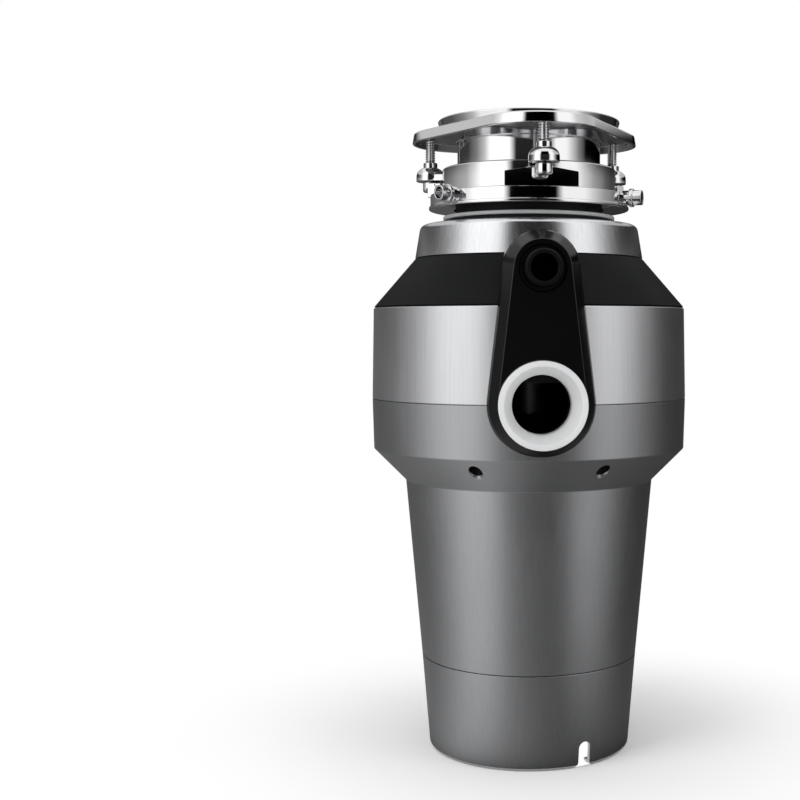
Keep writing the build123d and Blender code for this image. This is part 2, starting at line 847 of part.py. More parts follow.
def make_lower_chamber():
    """Casting under the turntable that collects the ground waste and leads it to the outlet."""
    body = turned(
        (bush_r, chamber_z),
        (chamber_r, chamber_z),
        (chamber_r, chamber_top_z - chamber_flange_t),
        (chamber_flange_r, chamber_top_z - chamber_flange_t),
        (chamber_flange_r, chamber_top_z),
        (chamber_inner_r, chamber_top_z),
        (chamber_inner_r, floor_z),
        (bush_r, floor_z),
    )
    pocket_r = shaft_r + run_gap + seal_wall
    hub_top = chamber_z + chamber_hub_h
    body += tube(pocket_r + seal_wall, pocket_r, chamber_z, hub_top)
    body -= rod(pocket_r, chamber_z + seal_lift, hub_top)
    body += tube(pocket_r + seal_seat, shaft_r + moving_gap, chamber_z, chamber_z + seal_lift)
    body += drill(duct_r, outlet_z, chamber_r - chamber_wall / 2, duct_end)
    body -= drill(duct_bore_r, outlet_z, chamber_r - close_gap, duct_end)
    window = drill(duct_bore_r, outlet_z, chamber_inner_r - 4 * chamber_wall, chamber_r)
    window &= block(4 * chamber_r, 4 * chamber_r, chamber_z, outlet_z + ledge_z)
    body -= window
    ear_low = belly_z + shell_boss_rise
    for angle in shell_screw_angles:
        ear = rod(ear_w / 2, ear_low, ear_low + ear_t, 0, -shell_screw_pcd_r)
        reach = shell_screw_pcd_r - chamber_r + chamber_wall / 2
        ear += block(ear_w, reach, ear_low, ear_low + ear_t, 0, -shell_screw_pcd_r + reach / 2)
        ear -= rod(shell_screw_r + screw_gap, ear_low, ear_low + ear_t, 0, -shell_screw_pcd_r)
        body += turn(ear, angle)
    flange_low = chamber_top_z - chamber_flange_t
    hole = rod(flange_screw_r + close_gap, flange_low, chamber_top_z, 0, -flange_screw_pcd_r)
    for angle in even(flange_screw_count, flange_screw_start):
        body -= turn(hole, angle)
    hole = rod(adapter_screw_r + close_gap, chamber_z, floor_z, 0, -adapter_screw_pcd_r)
    for angle in even(adapter_screw_count, adapter_screw_start):
        body -= turn(hole, angle)
    return body


def make_shell_screws():
    """Screws at the bottom of the deep holes in the flare."""
    seat = belly_z + shell_boss_rise - shell_boss_seat
    length = shell_boss_seat + ear_t
    head_h = shell_screw_head_h
    screw = upright_screw(shell_screw_r, shell_screw_head_r, head_h, seat, length, -shell_screw_pcd_r)
    return group(turn(screw, angle) for angle in shell_screw_angles)


def make_adapter_screws():
    """Screws that hold the motor under the lower chamber."""
    seat = chamber_z - adapter_flange_t
    length = adapter_flange_t + floor_t
    head_h = adapter_screw_head_h
    screw = upright_screw(adapter_screw_r, adapter_screw_head_r, head_h, seat, length, -adapter_screw_pcd_r)
    return group(turn(screw, angle) for angle in even(adapter_screw_count, adapter_screw_start))


def make_shaft_seal():
    """Rubber seal that keeps water off the motor."""
    outer_r = shaft_r + run_gap + seal_wall - close_gap
    top = chamber_z + chamber_hub_h
    body = tube(outer_r, shaft_r + run_gap, chamber_z + seal_lift, top)
    groove = tube(outer_r - seal_lip_w, shaft_r + seal_lip_w, top - seal_groove_depth, top)
    return body - groove


def make_upper_end_bell():
    """Upper motor casting: rim on the stator, bearing hub, and the skirt up to the chamber."""
    body = tube(bell_r, bell_inner_r, stator_top_z, upper_web_z)
    body += tube(bell_r, bush_r, upper_web_z, upper_web_z + web_t)
    body += tube(hub_r, bush_r, upper_web_z - hub_drop, upper_hub_z)
    body += tube(bell_r, bell_r - adapter_wall, upper_web_z + web_t, chamber_z)
    body += tube(adapter_flange_r, bell_r - adapter_wall, chamber_z - adapter_flange_t, chamber_z)
    for angle in even(upper_window_count):
        window = block(bell_window_w, 4 * bell_wall, 0, bell_window_h, 0, -bell_r)
        body -= turn(Pos(0, 0, upper_web_z + web_t + bell_window_lift) * window, angle)
    screw_hole_r = adapter_screw_r + close_gap
    for angle in even(adapter_screw_count, adapter_screw_start):
        hole = rod(screw_hole_r, chamber_z - adapter_flange_t, chamber_z, 0, -adapter_screw_pcd_r)
        body -= turn(hole, angle)
    nut_room_r = bolt_head_af / math.sqrt(3) + screw_gap
    for angle in even(bolt_count, bolt_start):
        body -= turn(rod(bolt_r + close_gap, stator_top_z, upper_web_z + web_t, 0, -bolt_pcd_r), angle)
        body -= turn(rod(nut_room_r, upper_web_z + web_t, chamber_z, 0, -bolt_pcd_r), angle)
    return body


def make_lower_end_bell():
    """Lower motor casting: rim under the stator, bearing hub, and the posts down to the base."""
    body = tube(bell_r, bush_r, lower_web_z, lower_web_z + web_t)
    body += tube(bell_r, bell_inner_r, lower_web_z + web_t, stator_z)
    body += tube(hub_r, bush_r, lower_web_z - hub_drop, lower_web_z + web_t + hub_drop - washer_t)
    for angle in base_screw_angles:
        body += turn(rod(post_r, plate_z, lower_web_z, 0, -base_screw_pcd_r), angle)
    hole = rod(base_screw_r + close_gap, plate_z, plate_z + base_screw_l, 0, -base_screw_pcd_r)
    for angle in base_screw_angles:
        body -= turn(hole, angle)
    for angle in even(bolt_count, bolt_start):
        body -= turn(rod(bolt_r + close_gap, lower_web_z, stator_z, 0, -bolt_pcd_r), angle)
    for angle in even(lower_window_count, lower_window_start):
        window = block(lower_window_w, 4 * bell_wall, 0, bell_window_h, 0, -bell_r)
        body -= turn(Pos(0, 0, lower_web_z + web_t + bell_window_lift) * window, angle)
    return body


def make_bushing(low, high):
    """Plain sintered bearing bush."""
    return tube(bush_r - press_gap, shaft_r + run_gap, low, high)


def make_stator_core():
    """Laminated ring with open slots."""
    body = tube(stator_r, stator_bore_r, stator_z, stator_top_z)
    slot_l = slot_high_r - slot_low_r
    slot = block(slot_w, slot_l, stator_z, stator_top_z, 0, -(slot_low_r + slot_high_r) / 2)
    mouth = block(slot_mouth_w, slot_low_r, stator_z, stator_top_z, 0, -slot_low_r / 2 - slot_overlap)
    cutter = slot + mouth
    body -= [turn(cutter, angle) for angle in even(slot_count)]
    for angle in even(bolt_count, bolt_start):
        body -= turn(rod(bolt_r + close_gap, stator_z, stator_top_z, 0, -bolt_pcd_r), angle)
    return body


def make_stator_windings():
    """Copper coils: a bundle above and below the core, joined through the slots."""
    low = tube(winding_high_r, winding_low_r, stator_z - soft_gap - winding_h, stator_z - soft_gap)
    high = tube(winding_high_r, winding_low_r, stator_top_z + soft_gap, stator_top_z + soft_gap + winding_h)
    low = fillet(low.edges().group_by(Axis.Z)[0], winding_round)
    high = fillet(high.edges().group_by(Axis.Z)[-1], winding_round)
    bar_w = slot_w - 2 * soft_gap
    bar_l = slot_high_r - slot_low_r - 2 * soft_gap
    middle_r = (slot_low_r + slot_high_r) / 2
    bar_low = stator_z - winding_overlap
    bar_high = stator_top_z + winding_overlap
    bar = block(bar_w, bar_l, bar_low, bar_high, 0, -middle_r)
    bars = [turn(bar, angle) for angle in even(slot_count)]
    return low + high + bars


def make_through_bolts():
    """Long bolts that clamp the two bells on the stator."""
    length = upper_web_z + web_t - lower_web_z
    bolt = rod(bolt_r, lower_web_z, lower_web_z + length, 0, -bolt_pcd_r)
    bolt += hexagon(bolt_head_af, lower_web_z - bolt_head_h, lower_web_z, 0, -bolt_pcd_r)
    nut_z = upper_web_z + web_t
    bolt += hexagon(bolt_head_af, nut_z, nut_z + bolt_head_h, 0, -bolt_pcd_r)
    return group(turn(bolt, angle) for angle in even(bolt_count, bolt_start))


def make_motor_foam():
    """Sound foam round the motor, inside the lower shell."""
    inner_r = bell_r + foam_gap
    return tube(inner_r + foam_t, inner_r, base_h + 2 * lip_h, upper_web_z - foam_stop)


def make_hopper_foam():
    """Sound foam between the hopper and the upper shell."""
    outer_r = shoulder_r - shell_wall - hopper_foam_gap
    low = hopper_z + hopper_flange_t + hopper_foam_lift
    return tube(outer_r, hopper_r + soft_gap, low, shoulder_z - lip_h - soft_gap)


def make_shaft():
    """Steel shaft with a hexagon socket below, a bearing collar, and a thread for the turntable nut."""
    low = lower_web_z - hub_drop - shaft_drop
    body = rod(shaft_r, low, turntable_top_z - close_gap)
    body += rod(thread_r, turntable_top_z - close_gap, turntable_top_z + thread_l)
    collar_z = lower_web_z + web_t + hub_drop + soft_gap
    body += rod(collar_r, collar_z, collar_z + collar_h)
    body -= hexagon(hex_af, low, low + hex_depth)
    return body


def make_thrust_washer():
    """Washer between the lower bush and the collar of the shaft."""
    low = lower_web_z + web_t + hub_drop - washer_t
    return tube(collar_r + washer_rim, shaft_r + run_gap, low, low + washer_t)


def make_rotor_core():
    """Laminated core of the rotor."""
    return tube(rotor_r, shaft_r + press_gap, stator_z, stator_top_z)


def make_rotor_cage():
    """Two cast end rings of the rotor, with cooling fins."""
    rings = []
    outer_r = rotor_r - cage_inset
    for low, fin_low in (
        (stator_z - cage_ring_h, stator_z - cage_ring_h - cage_fin_h),
        (stator_top_z, stator_top_z + cage_ring_h),
    ):
        ring = tube(outer_r, outer_r - cage_ring_w, low, low + cage_ring_h)
        fin_w = cage_ring_w - 2 * cage_inset
        fin = block(cage_fin_t, fin_w, fin_low, fin_low + cage_fin_h, 0, -outer_r + cage_ring_w / 2)
        for angle in even(cage_fin_count):
            ring += turn(fin, angle)
        rings.append(ring)
    return group(rings)


def make_slinger():
    """Disc on the shaft that throws leaked water outwards."""
    low = upper_hub_z + slinger_rise
    return turned(
        (shaft_r + press_gap, low),
        (shaft_r + slinger_hub, low),
        (slinger_r, low + slinger_t / 2),
        (slinger_r, low + slinger_t),
        (shaft_r + press_gap, low + slinger_t),
    )


def make_turntable():
    """Spinning plate that throws the waste against the grind ring."""
    body = tube(turntable_r, shaft_r + press_gap, turntable_z, turntable_top_z)
    body += tube(turntable_hub_r, shaft_r + press_gap, turntable_z - turntable_hub_h, turntable_z)
    skirt_z = chamber_z + chamber_hub_h + turntable_skirt_gap
    body += tube(turntable_skirt_r, shaft_r + press_gap, skirt_z, turntable_z - turntable_hub_h)
    for angle in even(turntable_holes, turntable_hole_start):
        body -= turn(rod(turntable_hole_r, turntable_z, turntable_top_z, 0, -turntable_hole_pcd_r), angle)
    for side in (-1, 1):
        body -= rod(pin_r + press_gap, turntable_z, turntable_top_z, side * impeller_pivot_r, 0)
    return body


def make_turntable_nut():
    """Nut that holds the turntable on the shaft."""
    nut = hexagon(nut_af, turntable_top_z, turntable_top_z + nut_h)
    return nut - rod(thread_r + press_gap, turntable_top_z, turntable_top_z + nut_h)


def make_impeller_pins():
    """Rivets that the two impellers swing on."""
    pins = []
    base_top = turntable_top_z + impeller_lift + impeller_base_t
    for side in (-1, 1):
        x = side * impeller_pivot_r
        pin = rod(pin_r, turntable_z - pin_head_t, base_top + impeller_lift, x, 0)
        pin += rod(pin_head_r, turntable_z - pin_head_t, turntable_z, x, 0)
        pin += rod(pin_head_r, base_top + impeller_lift, base_top + impeller_lift + pin_head_t, x, 0)
        pins.append(pin)
    return group(pins)


def make_impeller(side):
    """Swinging lug on the turntable, with a tooth at its outer end."""
    low = turntable_top_z + impeller_lift
    reach = impeller_reach - impeller_w / 2
    length = reach + impeller_heel
    plate = extrude(SlotCenterToCenter(length, impeller_w), impeller_base_t)
    body = Pos((reach - impeller_heel) / 2, 0, low) * plate
    tooth_top = low + impeller_base_t + impeller_tooth_h
    body += block(impeller_tooth_l, impeller_w, low, tooth_top, impeller_reach, 0)
    body -= rod(pin_r + run_gap, low, low + impeller_base_t)
    return Rot(0, 0, 0 if side > 0 else 180) * Pos(impeller_pivot_r, 0, 0) * body


def make_splash_guard():
    """Rubber collar over the neck flange, with a slit curtain across the throat."""
    outer_r = neck_flange_r + guard_wall
    flap_z = guard_top_z - guard_curtain
    curtain_r = neck_bore_r - close_gap
    body = turned(
        (curtain_r - guard_wall, flap_z),
        (curtain_r, flap_z),
        (curtain_r, neck_top_z),
        (neck_flange_r + close_gap, neck_top_z),
        (neck_flange_r + close_gap, neck_top_z - guard_skirt),
        (outer_r, neck_top_z - guard_skirt),
        (outer_r, guard_top_z),
        (curtain_r - guard_wall, guard_top_z),
    )
    flaps = tube(curtain_r - guard_wall / 2, guard_hole_r, flap_z, flap_z + guard_flap_t)
    slit_start = guard_hole_r - guard_slit_overlap
    slit_l = guard_slit_r - slit_start
    slit = block(guard_slit_w, slit_l, flap_z, flap_z + guard_flap_t, 0, -slit_start - slit_l / 2)
    for angle in even(guard_slits, 360 / guard_slits / 2):
        flaps -= turn(slit, angle)
    return body + flaps


def make_sink_flange():
    """Polished flange with its sleeve, which hangs in the drain hole of the sink."""
    body = turned(
        (sleeve_bore_r, sleeve_z),
        (sleeve_r, sleeve_z),
        (sleeve_r, rim_z + rim_edge),
        (rim_low_r - rim_edge, rim_z + rim_edge),
        (rim_low_r - rim_edge, rim_z),
        (rim_low_r, rim_z),
        (rim_r, flange_top_z),
        (rim_r - rim_lip, flange_top_z),
        (sleeve_bore_r, flange_top_z - rim_dish),
    )
    groove_z = mount_ring_top_z - mount_ring_wall - snap_t
    groove = tube(sleeve_r + cut_margin, sleeve_r - snap_groove, groove_z, groove_z + snap_t)
    return body - groove


def make_flange_gasket():
    """Fibre ring under the rim, where the sink is clamped."""
    return tube(flange_gasket_r, sleeve_r + soft_gap, rim_z, rim_z + rim_edge)


def backup_outline(inset):
    """Rounded triangle with a lobe over each mount screw."""
    corners = RegularPolygon(backup_lobe_c, 3)
    return offset(corners, backup_lobe_r - inset, kind=Kind.ARC)


def make_backup_flange():
    """Pressed plate with a skirt, pushed up under the sink by the three screws."""
    body = extrude(backup_outline(0), backup_skirt)
    body -= extrude(backup_outline(backup_t), backup_skirt - backup_t)
    body = fillet(body.faces().sort_by(Axis.Z)[-1].edges(), backup_t * 0.8)
    hole_r = sleeve_r + soft_gap
    collar = tube(hole_r + backup_collar_t, hole_r, -backup_t, backup_skirt - backup_t / 2)
    body = body + collar - rod(hole_r, -backup_t, backup_skirt)
    return Pos(0, 0, backup_z) * Rot(0, 0, mount_angle - 90) * body


def make_snap_ring():
    """Open spring ring in the groove of the sleeve, which carries the mounting ring."""
    low = mount_ring_top_z - mount_ring_wall - snap_t
    body = tube(snap_r, sleeve_r - snap_groove + close_gap, low + close_gap, low + snap_t - close_gap)
    return body - block(snap_opening, 2 * (snap_r - sleeve_r + snap_groove), low, low + snap_t, 0, snap_r)


def make_mounting_ring():
    """Polished ring round the sleeve, with three ears and the ramps of the bayonet."""
    top = mount_ring_top_z
    hole_r = sleeve_r + soft_gap
    body = tube(mount_ring_r, mount_ring_r - mount_ring_wall, sleeve_z, top)
    body = fillet(body.edges().group_by(Axis.Z)[-1].sort_by(SortBy.RADIUS)[-1], mount_ring_wall / 2)
    body += tube(mount_ring_r - mount_ring_wall / 2, hole_r, top - mount_ring_wall, top)
    ramp_top = hook_top_z - hook_lip_t - soft_gap
    ramp_r = mount_ring_r + ramp_reach
    ramp = tube(ramp_r, mount_ring_r - mount_ring_wall / 2, ramp_top - ramp_t, ramp_top)
    half_w = ramp_r * math.sin(math.radians(ramp_half))
    ramp &= block(2 * half_w, ramp_r, ramp_top - ramp_t, ramp_top, 0, -ramp_r)
    arm_l = ear_pcd_r - mount_ring_r + mount_ring_wall / 2
    arm = block(ear_arm_w, arm_l, mount_ear_z, mount_ear_z + ear_arm_t, 0, -ear_pcd_r + arm_l / 2)
    arm = fillet(arm.edges().filter_by(Axis.Y).group_by(Axis.Z)[-1], ear_arm_t / 3)
    boss = rod(ear_boss_r, mount_ear_z, mount_ear_z + ear_boss_h, 0, -ear_pcd_r)
    boss = fillet(boss.edges().group_by(Axis.Z)[-1], min(ear_dome, ear_boss_h * 0.7))
    collar_top = mount_ear_z + ear_boss_h + ear_collar_h
    collar = rod(ear_collar_r, mount_ear_z, collar_top, 0, -ear_pcd_r)
    hole = rod(mount_screw_r + run_gap, mount_ear_z, collar_top, 0, -ear_pcd_r)
    ear = ramp + arm + boss + collar - hole
    for angle in mount_angles:
        body += turn(ear, angle)
    return body


def make_mount_screws():
    """Jack screws through the ears, whose tips push the backup flange up."""
    head_z = mount_ear_z - 2 * screw_gap - mount_screw_head_h
    tip_z = rim_z - backup_t
    screw = rod(mount_screw_r, head_z, tip_z, 0, -ear_pcd_r)
    head = rod(mount_screw_head_r, head_z, head_z + mount_screw_head_h, 0, -ear_pcd_r)
    head = fillet(head.edges().group_by(Axis.Z)[0], mount_screw_head_r * 0.3)
    slot_top = head_z + 2 * mount_screw_slot
    slot = block(2 * mount_screw_head_r, mount_screw_slot, head_z, slot_top, 0, -ear_pcd_r)
    screw = screw + head - slot
    return group(turn(screw, angle) for angle in mount_angles)


def make_lug():
    """Rolled tube on the locking ring that takes a hexagon key."""
    near = lock_r - lock_wall
    far = lock_r + lug_reach
    lug_z = lock_z + lug_rise
    body = drill(lug_r, lug_z, near, far)
    collar_near = lock_r + lug_collar_stand
    body += drill(lug_collar_r, lug_z, collar_near, collar_near + lug_collar_w)
    return body - drill(lug_bore_r, lug_z, lock_r + lug_floor, far)


def hook_outline():
    """Prism that leaves one hook of the raised wall, with its top sloping to both sides."""
    half = hook_w / 2
    half_flat = hook_flat_w / 2
    shoulder = hook_top_z - hook_shoulder
    shape = make_face(
        Polyline(
            (-half, lock_z),
            (half, lock_z),
            (half, shoulder),
            (half_flat, hook_top_z + hook_peak),
            (-half_flat, hook_top_z + hook_peak),
            (-half, shoulder),
            close=True,
        )
    )
    plane = Plane(origin=(0, 0, 0), x_dir=(1, 0, 0), z_dir=(0, -1, 0))
    return extrude(plane * shape, 2 * lock_r)


def make_locking_ring():
    """Lower ring of the mount: band, web under the neck flange, three hooks and three lugs."""
    inner_r = lock_r - lock_wall
    lip_r = mount_ring_r + hook_lip_gap
    full = turned(
        (lock_hole_r, lock_z),
        (lock_r + lock_bead - lock_bead_edge, lock_z),
        (lock_r + lock_bead, lock_z + lock_bead_edge),
        (lock_r + lock_bead, lock_z + lock_bead_h - lock_bead_edge),
        (lock_r, lock_z + lock_bead_h),
        (lock_r, hook_top_z + hook_peak),
        (inner_r, hook_top_z + hook_peak),
        (inner_r, hook_top_z),
        (lip_r, hook_top_z),
        (lip_r, hook_top_z - hook_lip_t),
        (inner_r, hook_top_z - hook_lip_t),
        (inner_r, lock_z + lock_web_t),
        (lock_hole_r, lock_z + lock_web_t),
    )
    keep = rod(2 * lock_r, lock_z, lock_top_z)
    for angle in mount_angles:
        keep += turn(hook_outline(), angle)
    body = full & keep
    for angle in mount_angles:
        body += turn(make_lug(), angle + lug_turn)
    return body


def make_cord_gland():
    """Strain relief for the supply cord: body below the plate, barrel through it, nut above."""
    low = base_recess - gland_flange_t - gland_tail
    body = rod(gland_r, low, plate_z + gland_nut_t, 0, -gland_seat_r)
    body += rod(gland_flange_r, base_recess - gland_flange_t, base_recess, 0, -gland_seat_r)
    body += hexagon(gland_nut_af, plate_z, plate_z + gland_nut_t, 0, -gland_seat_r)
    body -= rod(gland_bore_r, low, plate_z + gland_nut_t, 0, -gland_seat_r)
    return turn(body, notch_angle)


def make_base_screws():
    """Screws that hold the base cap to the posts of the motor."""
    length = plate_t + base_screw_l - base_screw_tip_gap
    head_r = base_screw_head_r
    screw = upright_screw(base_screw_r, head_r, base_screw_head_h, base_recess, length, -base_screw_pcd_r)
    return group(turn(screw, angle) for angle in base_screw_angles)


def make_terminal_cover():
    """Small plate over the wiring hole."""
    low = base_recess - terminal_cover_t
    body = block(terminal_cover_x, terminal_cover_y, low, base_recess, 0, terminal_seat_r)
    body = fillet(body.edges().filter_by(Axis.Z), terminal_cover_round)
    return body - rod(cover_screw_r + close_gap, low, base_recess, cover_screw_x, terminal_seat_r)


def make_terminal_cover_screw():
    """Screw of the terminal cover."""
    seat = base_recess - terminal_cover_t
    length = terminal_cover_t + plate_t + cover_screw_tip
    screw = upright_screw(cover_screw_r, cover_screw_head_r, cover_screw_head_h, seat, length, 0)
    return Pos(cover_screw_x, terminal_seat_r, 0) * screw


def make_terminal_block():
    """Block that the supply leads are screwed to."""
    body = block(terminal_x, terminal_y, plate_z, plate_z + terminal_h, 0, terminal_seat_r)
    top = plate_z + terminal_h
    for x in (-terminal_pitch, 0, terminal_pitch):
        body -= rod(terminal_bore_r, top - terminal_bore_depth, top, x, terminal_seat_r)
    return body


def make_overload_protector():
    """Overload protector that the reset button works."""
    body = block(overload_x, overload_y, plate_z, plate_z + overload_h, -overload_seat_r, 0)
    body = fillet(body.edges().filter_by(Axis.Z), overload_round)
    top = base_recess - button_reach + button_l + button_travel + moving_gap
    return body - rod(button_r + run_gap, plate_z, top, -overload_seat_r, 0)


def make_reset_button():
    """Red reset button, pushed up into the protector."""
    low = base_recess - button_reach
    body = rod(button_r, low, low + button_l, -overload_seat_r, 0)
    return fillet(body.edges().group_by(Axis.Z)[0], button_round)


def make_start_relay():
    """Relay that switches the start winding."""
    body = block(relay_x, relay_y, plate_z, plate_z + relay_h, relay_seat_r, 0)
    return fillet(body.edges().filter_by(Axis.Z), relay_round)


def make_start_capacitor():
    """Capacitor that lies on the base plate."""
    can = Rot(0, 90, 0) * Cylinder(capacitor_r, capacitor_l)
    can = Pos(0, -capacitor_seat_r, plate_z + capacitor_r + close_gap) * can
    return turn(can, capacitor_angle)


def save(name, shape):
    """Writes one node."""
    export_step(shape, f"parts/{name}.step")


def main():
    """Makes every node of the disposal."""
    os.makedirs("parts", exist_ok=True)
    save("base_cap", make_base_cap())
    save("lower_shell", make_lower_shell())
    save("upper_shell", make_upper_shell())
    save("shoulder_cone", make_shoulder_cone())
    save("top_cap", make_top_cap())
    save("neck_seal", make_neck_seal())
    save("neck_lip", make_neck_lip())
    save("discharge_housing", make_discharge_housing())
    save("discharge_spigot", make_discharge_spigot())
    save("duct_gasket", make_duct_gasket())
    save("inlet_nipple", make_inlet_nipple())
    save("knockout_plug", make_knockout_plug())
    save("hopper", make_hopper())
    save("chamber_gasket", make_chamber_gasket())
    save("flange_screws", make_flange_screws())
    save("grind_ring", make_grind_ring())
    save("lower_chamber", make_lower_chamber())
    save("shell_screws", make_shell_screws())
    save("adapter_screws", make_adapter_screws())
    save("shaft_seal", make_shaft_seal())
    save("upper_end_bell", make_upper_end_bell())
    save("lower_end_bell", make_lower_end_bell())
    save("upper_bushing", make_bushing(upper_web_z - hub_drop, upper_hub_z))
    save("lower_bushing", make_bushing(lower_web_z - hub_drop, lower_web_z + web_t + hub_drop - washer_t))
    save("stator_core", make_stator_core())
    save("stator_windings", make_stator_windings())
    save("through_bolts", make_through_bolts())
    save("motor_foam", make_motor_foam())
    save("hopper_foam", make_hopper_foam())
    save("shaft", make_shaft())
    save("thrust_washer", make_thrust_washer())
    save("rotor_core", make_rotor_core())
    save("rotor_cage", make_rotor_cage())
    save("slinger", make_slinger())
    save("turntable", make_turntable())
    save("turntable_nut", make_turntable_nut())
    save("impeller_pins", make_impeller_pins())
    save("impeller_a", make_impeller(1))
    save("impeller_b", make_impeller(-1))
    save("splash_guard", make_splash_guard())
    save("sink_flange", make_sink_flange())
    save("flange_gasket", make_flange_gasket())
    save("backup_flange", make_backup_flange())
    save("snap_ring", make_snap_ring())
    save("mounting_ring", make_mounting_ring())
    save("mount_screws", make_mount_screws())
    save("locking_ring", make_locking_ring())
    save("cord_gland", make_cord_gland())
    save("base_screws", make_base_screws())
    save("terminal_cover", make_terminal_cover())
    save("terminal_cover_screw", make_terminal_cover_screw())
    save("terminal_block", make_terminal_block())
    save("overload_protector", make_overload_protector())
    save("reset_button", make_reset_button())
    save("start_relay", make_start_relay())
    save("start_capacitor", make_start_capacitor())


main()
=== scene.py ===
import json
import math

import bmesh
import bpy
from mathutils import Matrix, Vector


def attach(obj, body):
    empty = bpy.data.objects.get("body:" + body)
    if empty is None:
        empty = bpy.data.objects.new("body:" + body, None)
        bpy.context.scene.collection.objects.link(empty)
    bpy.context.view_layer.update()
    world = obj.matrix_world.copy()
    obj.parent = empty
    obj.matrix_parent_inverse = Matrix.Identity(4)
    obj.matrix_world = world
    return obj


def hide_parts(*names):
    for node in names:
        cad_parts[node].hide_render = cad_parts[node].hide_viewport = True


# A garbage disposal that stands on its base, in metres, with +Z up and the outlet towards -Y.
# An angle is measured about +Z from the outlet, in degrees, and is positive towards +X.

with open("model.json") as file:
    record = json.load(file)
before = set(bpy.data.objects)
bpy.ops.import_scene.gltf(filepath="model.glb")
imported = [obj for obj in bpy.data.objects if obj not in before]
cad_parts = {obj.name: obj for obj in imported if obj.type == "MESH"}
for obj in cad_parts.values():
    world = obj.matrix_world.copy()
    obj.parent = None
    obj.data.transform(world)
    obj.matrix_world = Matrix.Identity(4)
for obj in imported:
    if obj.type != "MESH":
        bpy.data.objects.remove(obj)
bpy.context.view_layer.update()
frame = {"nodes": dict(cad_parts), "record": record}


# Camera, at the place that the photograph was taken from
CAMERA_AZIMUTH = -4.3
CAMERA_DISTANCE = 0.769
CAMERA_HEIGHT = 0.2494
CAMERA_DOWN = 3.06
CAMERA_LENS = 57.15
CAMERA_SHIFT = -0.161

# Sky and floor
SKY_LEVEL = 1.0
SKY_LIGHT = 0.62
FLOOR_SIZE = 1.6
FLOOR_FADE = (0.10, 0.26)
# Radius within which the floor under the base glows white to the eye and in reflections, as painted light
# over the shade there
FLOOR_GLOW_WITHIN = 0.0585
FLOOR_COLOUR = (0.96, 0.96, 0.96, 1.0)
FLOOR_ROUGHNESS = 0.9

# Lamps, each with its name, angle, distance, height, width, length and power
LAMP_AIM = (0, 0, 0.2)
LAMPS = (
    ("key_lamp", -55, 1.3, 1.1, 0.8, 1.2, 9.0),
    ("fill_lamp", 60, 1.4, 0.7, 0.8, 1.2, 3.5),
    ("top_lamp", 0, 0.1, 1.6, 1.4, 1.4, 7.0),
)

# Studio wall, with the floor that leads to it
WALL_LIFT = 0.0012
WALL_NEAR = 0.0606
WALL_FAR = 0.62
WALL_TOP = 0.95
WALL_STEPS = 96
WALL_STRENGTH = 2.15

# Levels of the wall's main part at angles from the camera, steady beyond the ends
WALL_LEVELS = (
    (-110, 0.02), (-88, 0.11), (-72, 0.29), (-62, 0.59), (-30, 0.60), (-20, 0.01),
    (32, 0.01), (42, 0.54), (60, 0.53), (72, 0.30), (84, 0.11), (100, 0.0),
)

# The same for the belt that the mount's rings reflect
MOUNT_LEVELS = (
    (-180, 0.05), (-140, 0.07), (-120, 0.12), (-105, 0.18), (-86, 0.24), (-72, 0.45),
    (-60, 0.64), (-28, 0.64), (-20, 0.0), (30, 0.0), (38, 0.50), (64, 0.50),
    (76, 0.34), (92, 0.18), (105, 0.13), (118, 0.06), (135, 0.03),
)

# The same for the wall's upper part
HIGH_LEVELS = (
    (-180, 0.25), (-130, 0.27), (-105, 0.30), (-88, 0.30), (-72, 0.45), (-62, 0.64),
    (-28, 0.64), (-20, 0.0), (30, 0.0), (38, 0.54), (62, 0.54), (76, 0.34),
    (100, 0.25), (135, 0.27), (180, 0.25),
)

# The same for the floor that leads to the wall
FLOOR_LEVELS = (
    (-180, 0.09), (-140, 0.12), (-100, 0.12), (-72, 0.20), (-48, 0.30), (-28, 0.23),
    (-10, 0.15), (8, 0.095), (27, 0.06), (60, 0.05), (100, 0.05), (180, 0.055),
)

# How far each table takes over from the ones before it, by the distance along floor and wall
WALL_REACH = 1.6
WALL_SHARE = (
    (0.06, 0.0), (0.12, 0.06), (0.18, 0.16), (0.32, 0.36), (0.62, 0.58),
    (0.76, 0.60), (0.82, 0.70), (0.95, 0.78), (0.985, 1.0),
)
MOUNT_SHARE = ((0.985, 0.0), (1.0, 1.0), (1.03, 1.0), (1.05, 0.0))
HIGH_SHARE = ((1.13, 0.0), (1.17, 1.0))

# How dark the floor is near the foot, by the same distance
FOOT_SHADE = ((0.06, 0.30), (0.075, 0.70), (0.10, 0.95), (0.16, 1.0))

# Sizes of the shells in millimetres, as in the part
BASE_FOOT_R = 60.4
BASE_TOP_R = 64.95
BASE_H = 56.1
BASE_WALL = 2.5
FOOT_INNER_R = 54.4
FOOT_T = 3.2
FOOT_ROUND = 2.6
PLATE_LOW = 20.0
PLATE_HIGH = 22.5
WAIST_R = 74.3
WAIST_Z = 161.3
BELLY_R = 93.2
BELLY_Z = 180.4
BELT_R = 94.0
BELT_Z = 210.4
SHOULDER_R = 93.0
SHOULDER_Z = 264.0
CAP_R = 68.2
CAP_Z = 293.2
CAP_TOP_R = 64.9
CAP_TOP_Z = 313.0
CAP_LEAN = (CAP_R - CAP_TOP_R) / (CAP_TOP_Z - CAP_Z)
CAP_HOLE_R = 46.6
CAP_ROUND = 3.96
SHELL_WALL = 2.2
CONE_WALL = 2.9
SEAM = 0.4
LIP_H = 4.0
LIP_WALL = 1.4
LIP_SLIP = 0.25
EDGE = 0.35

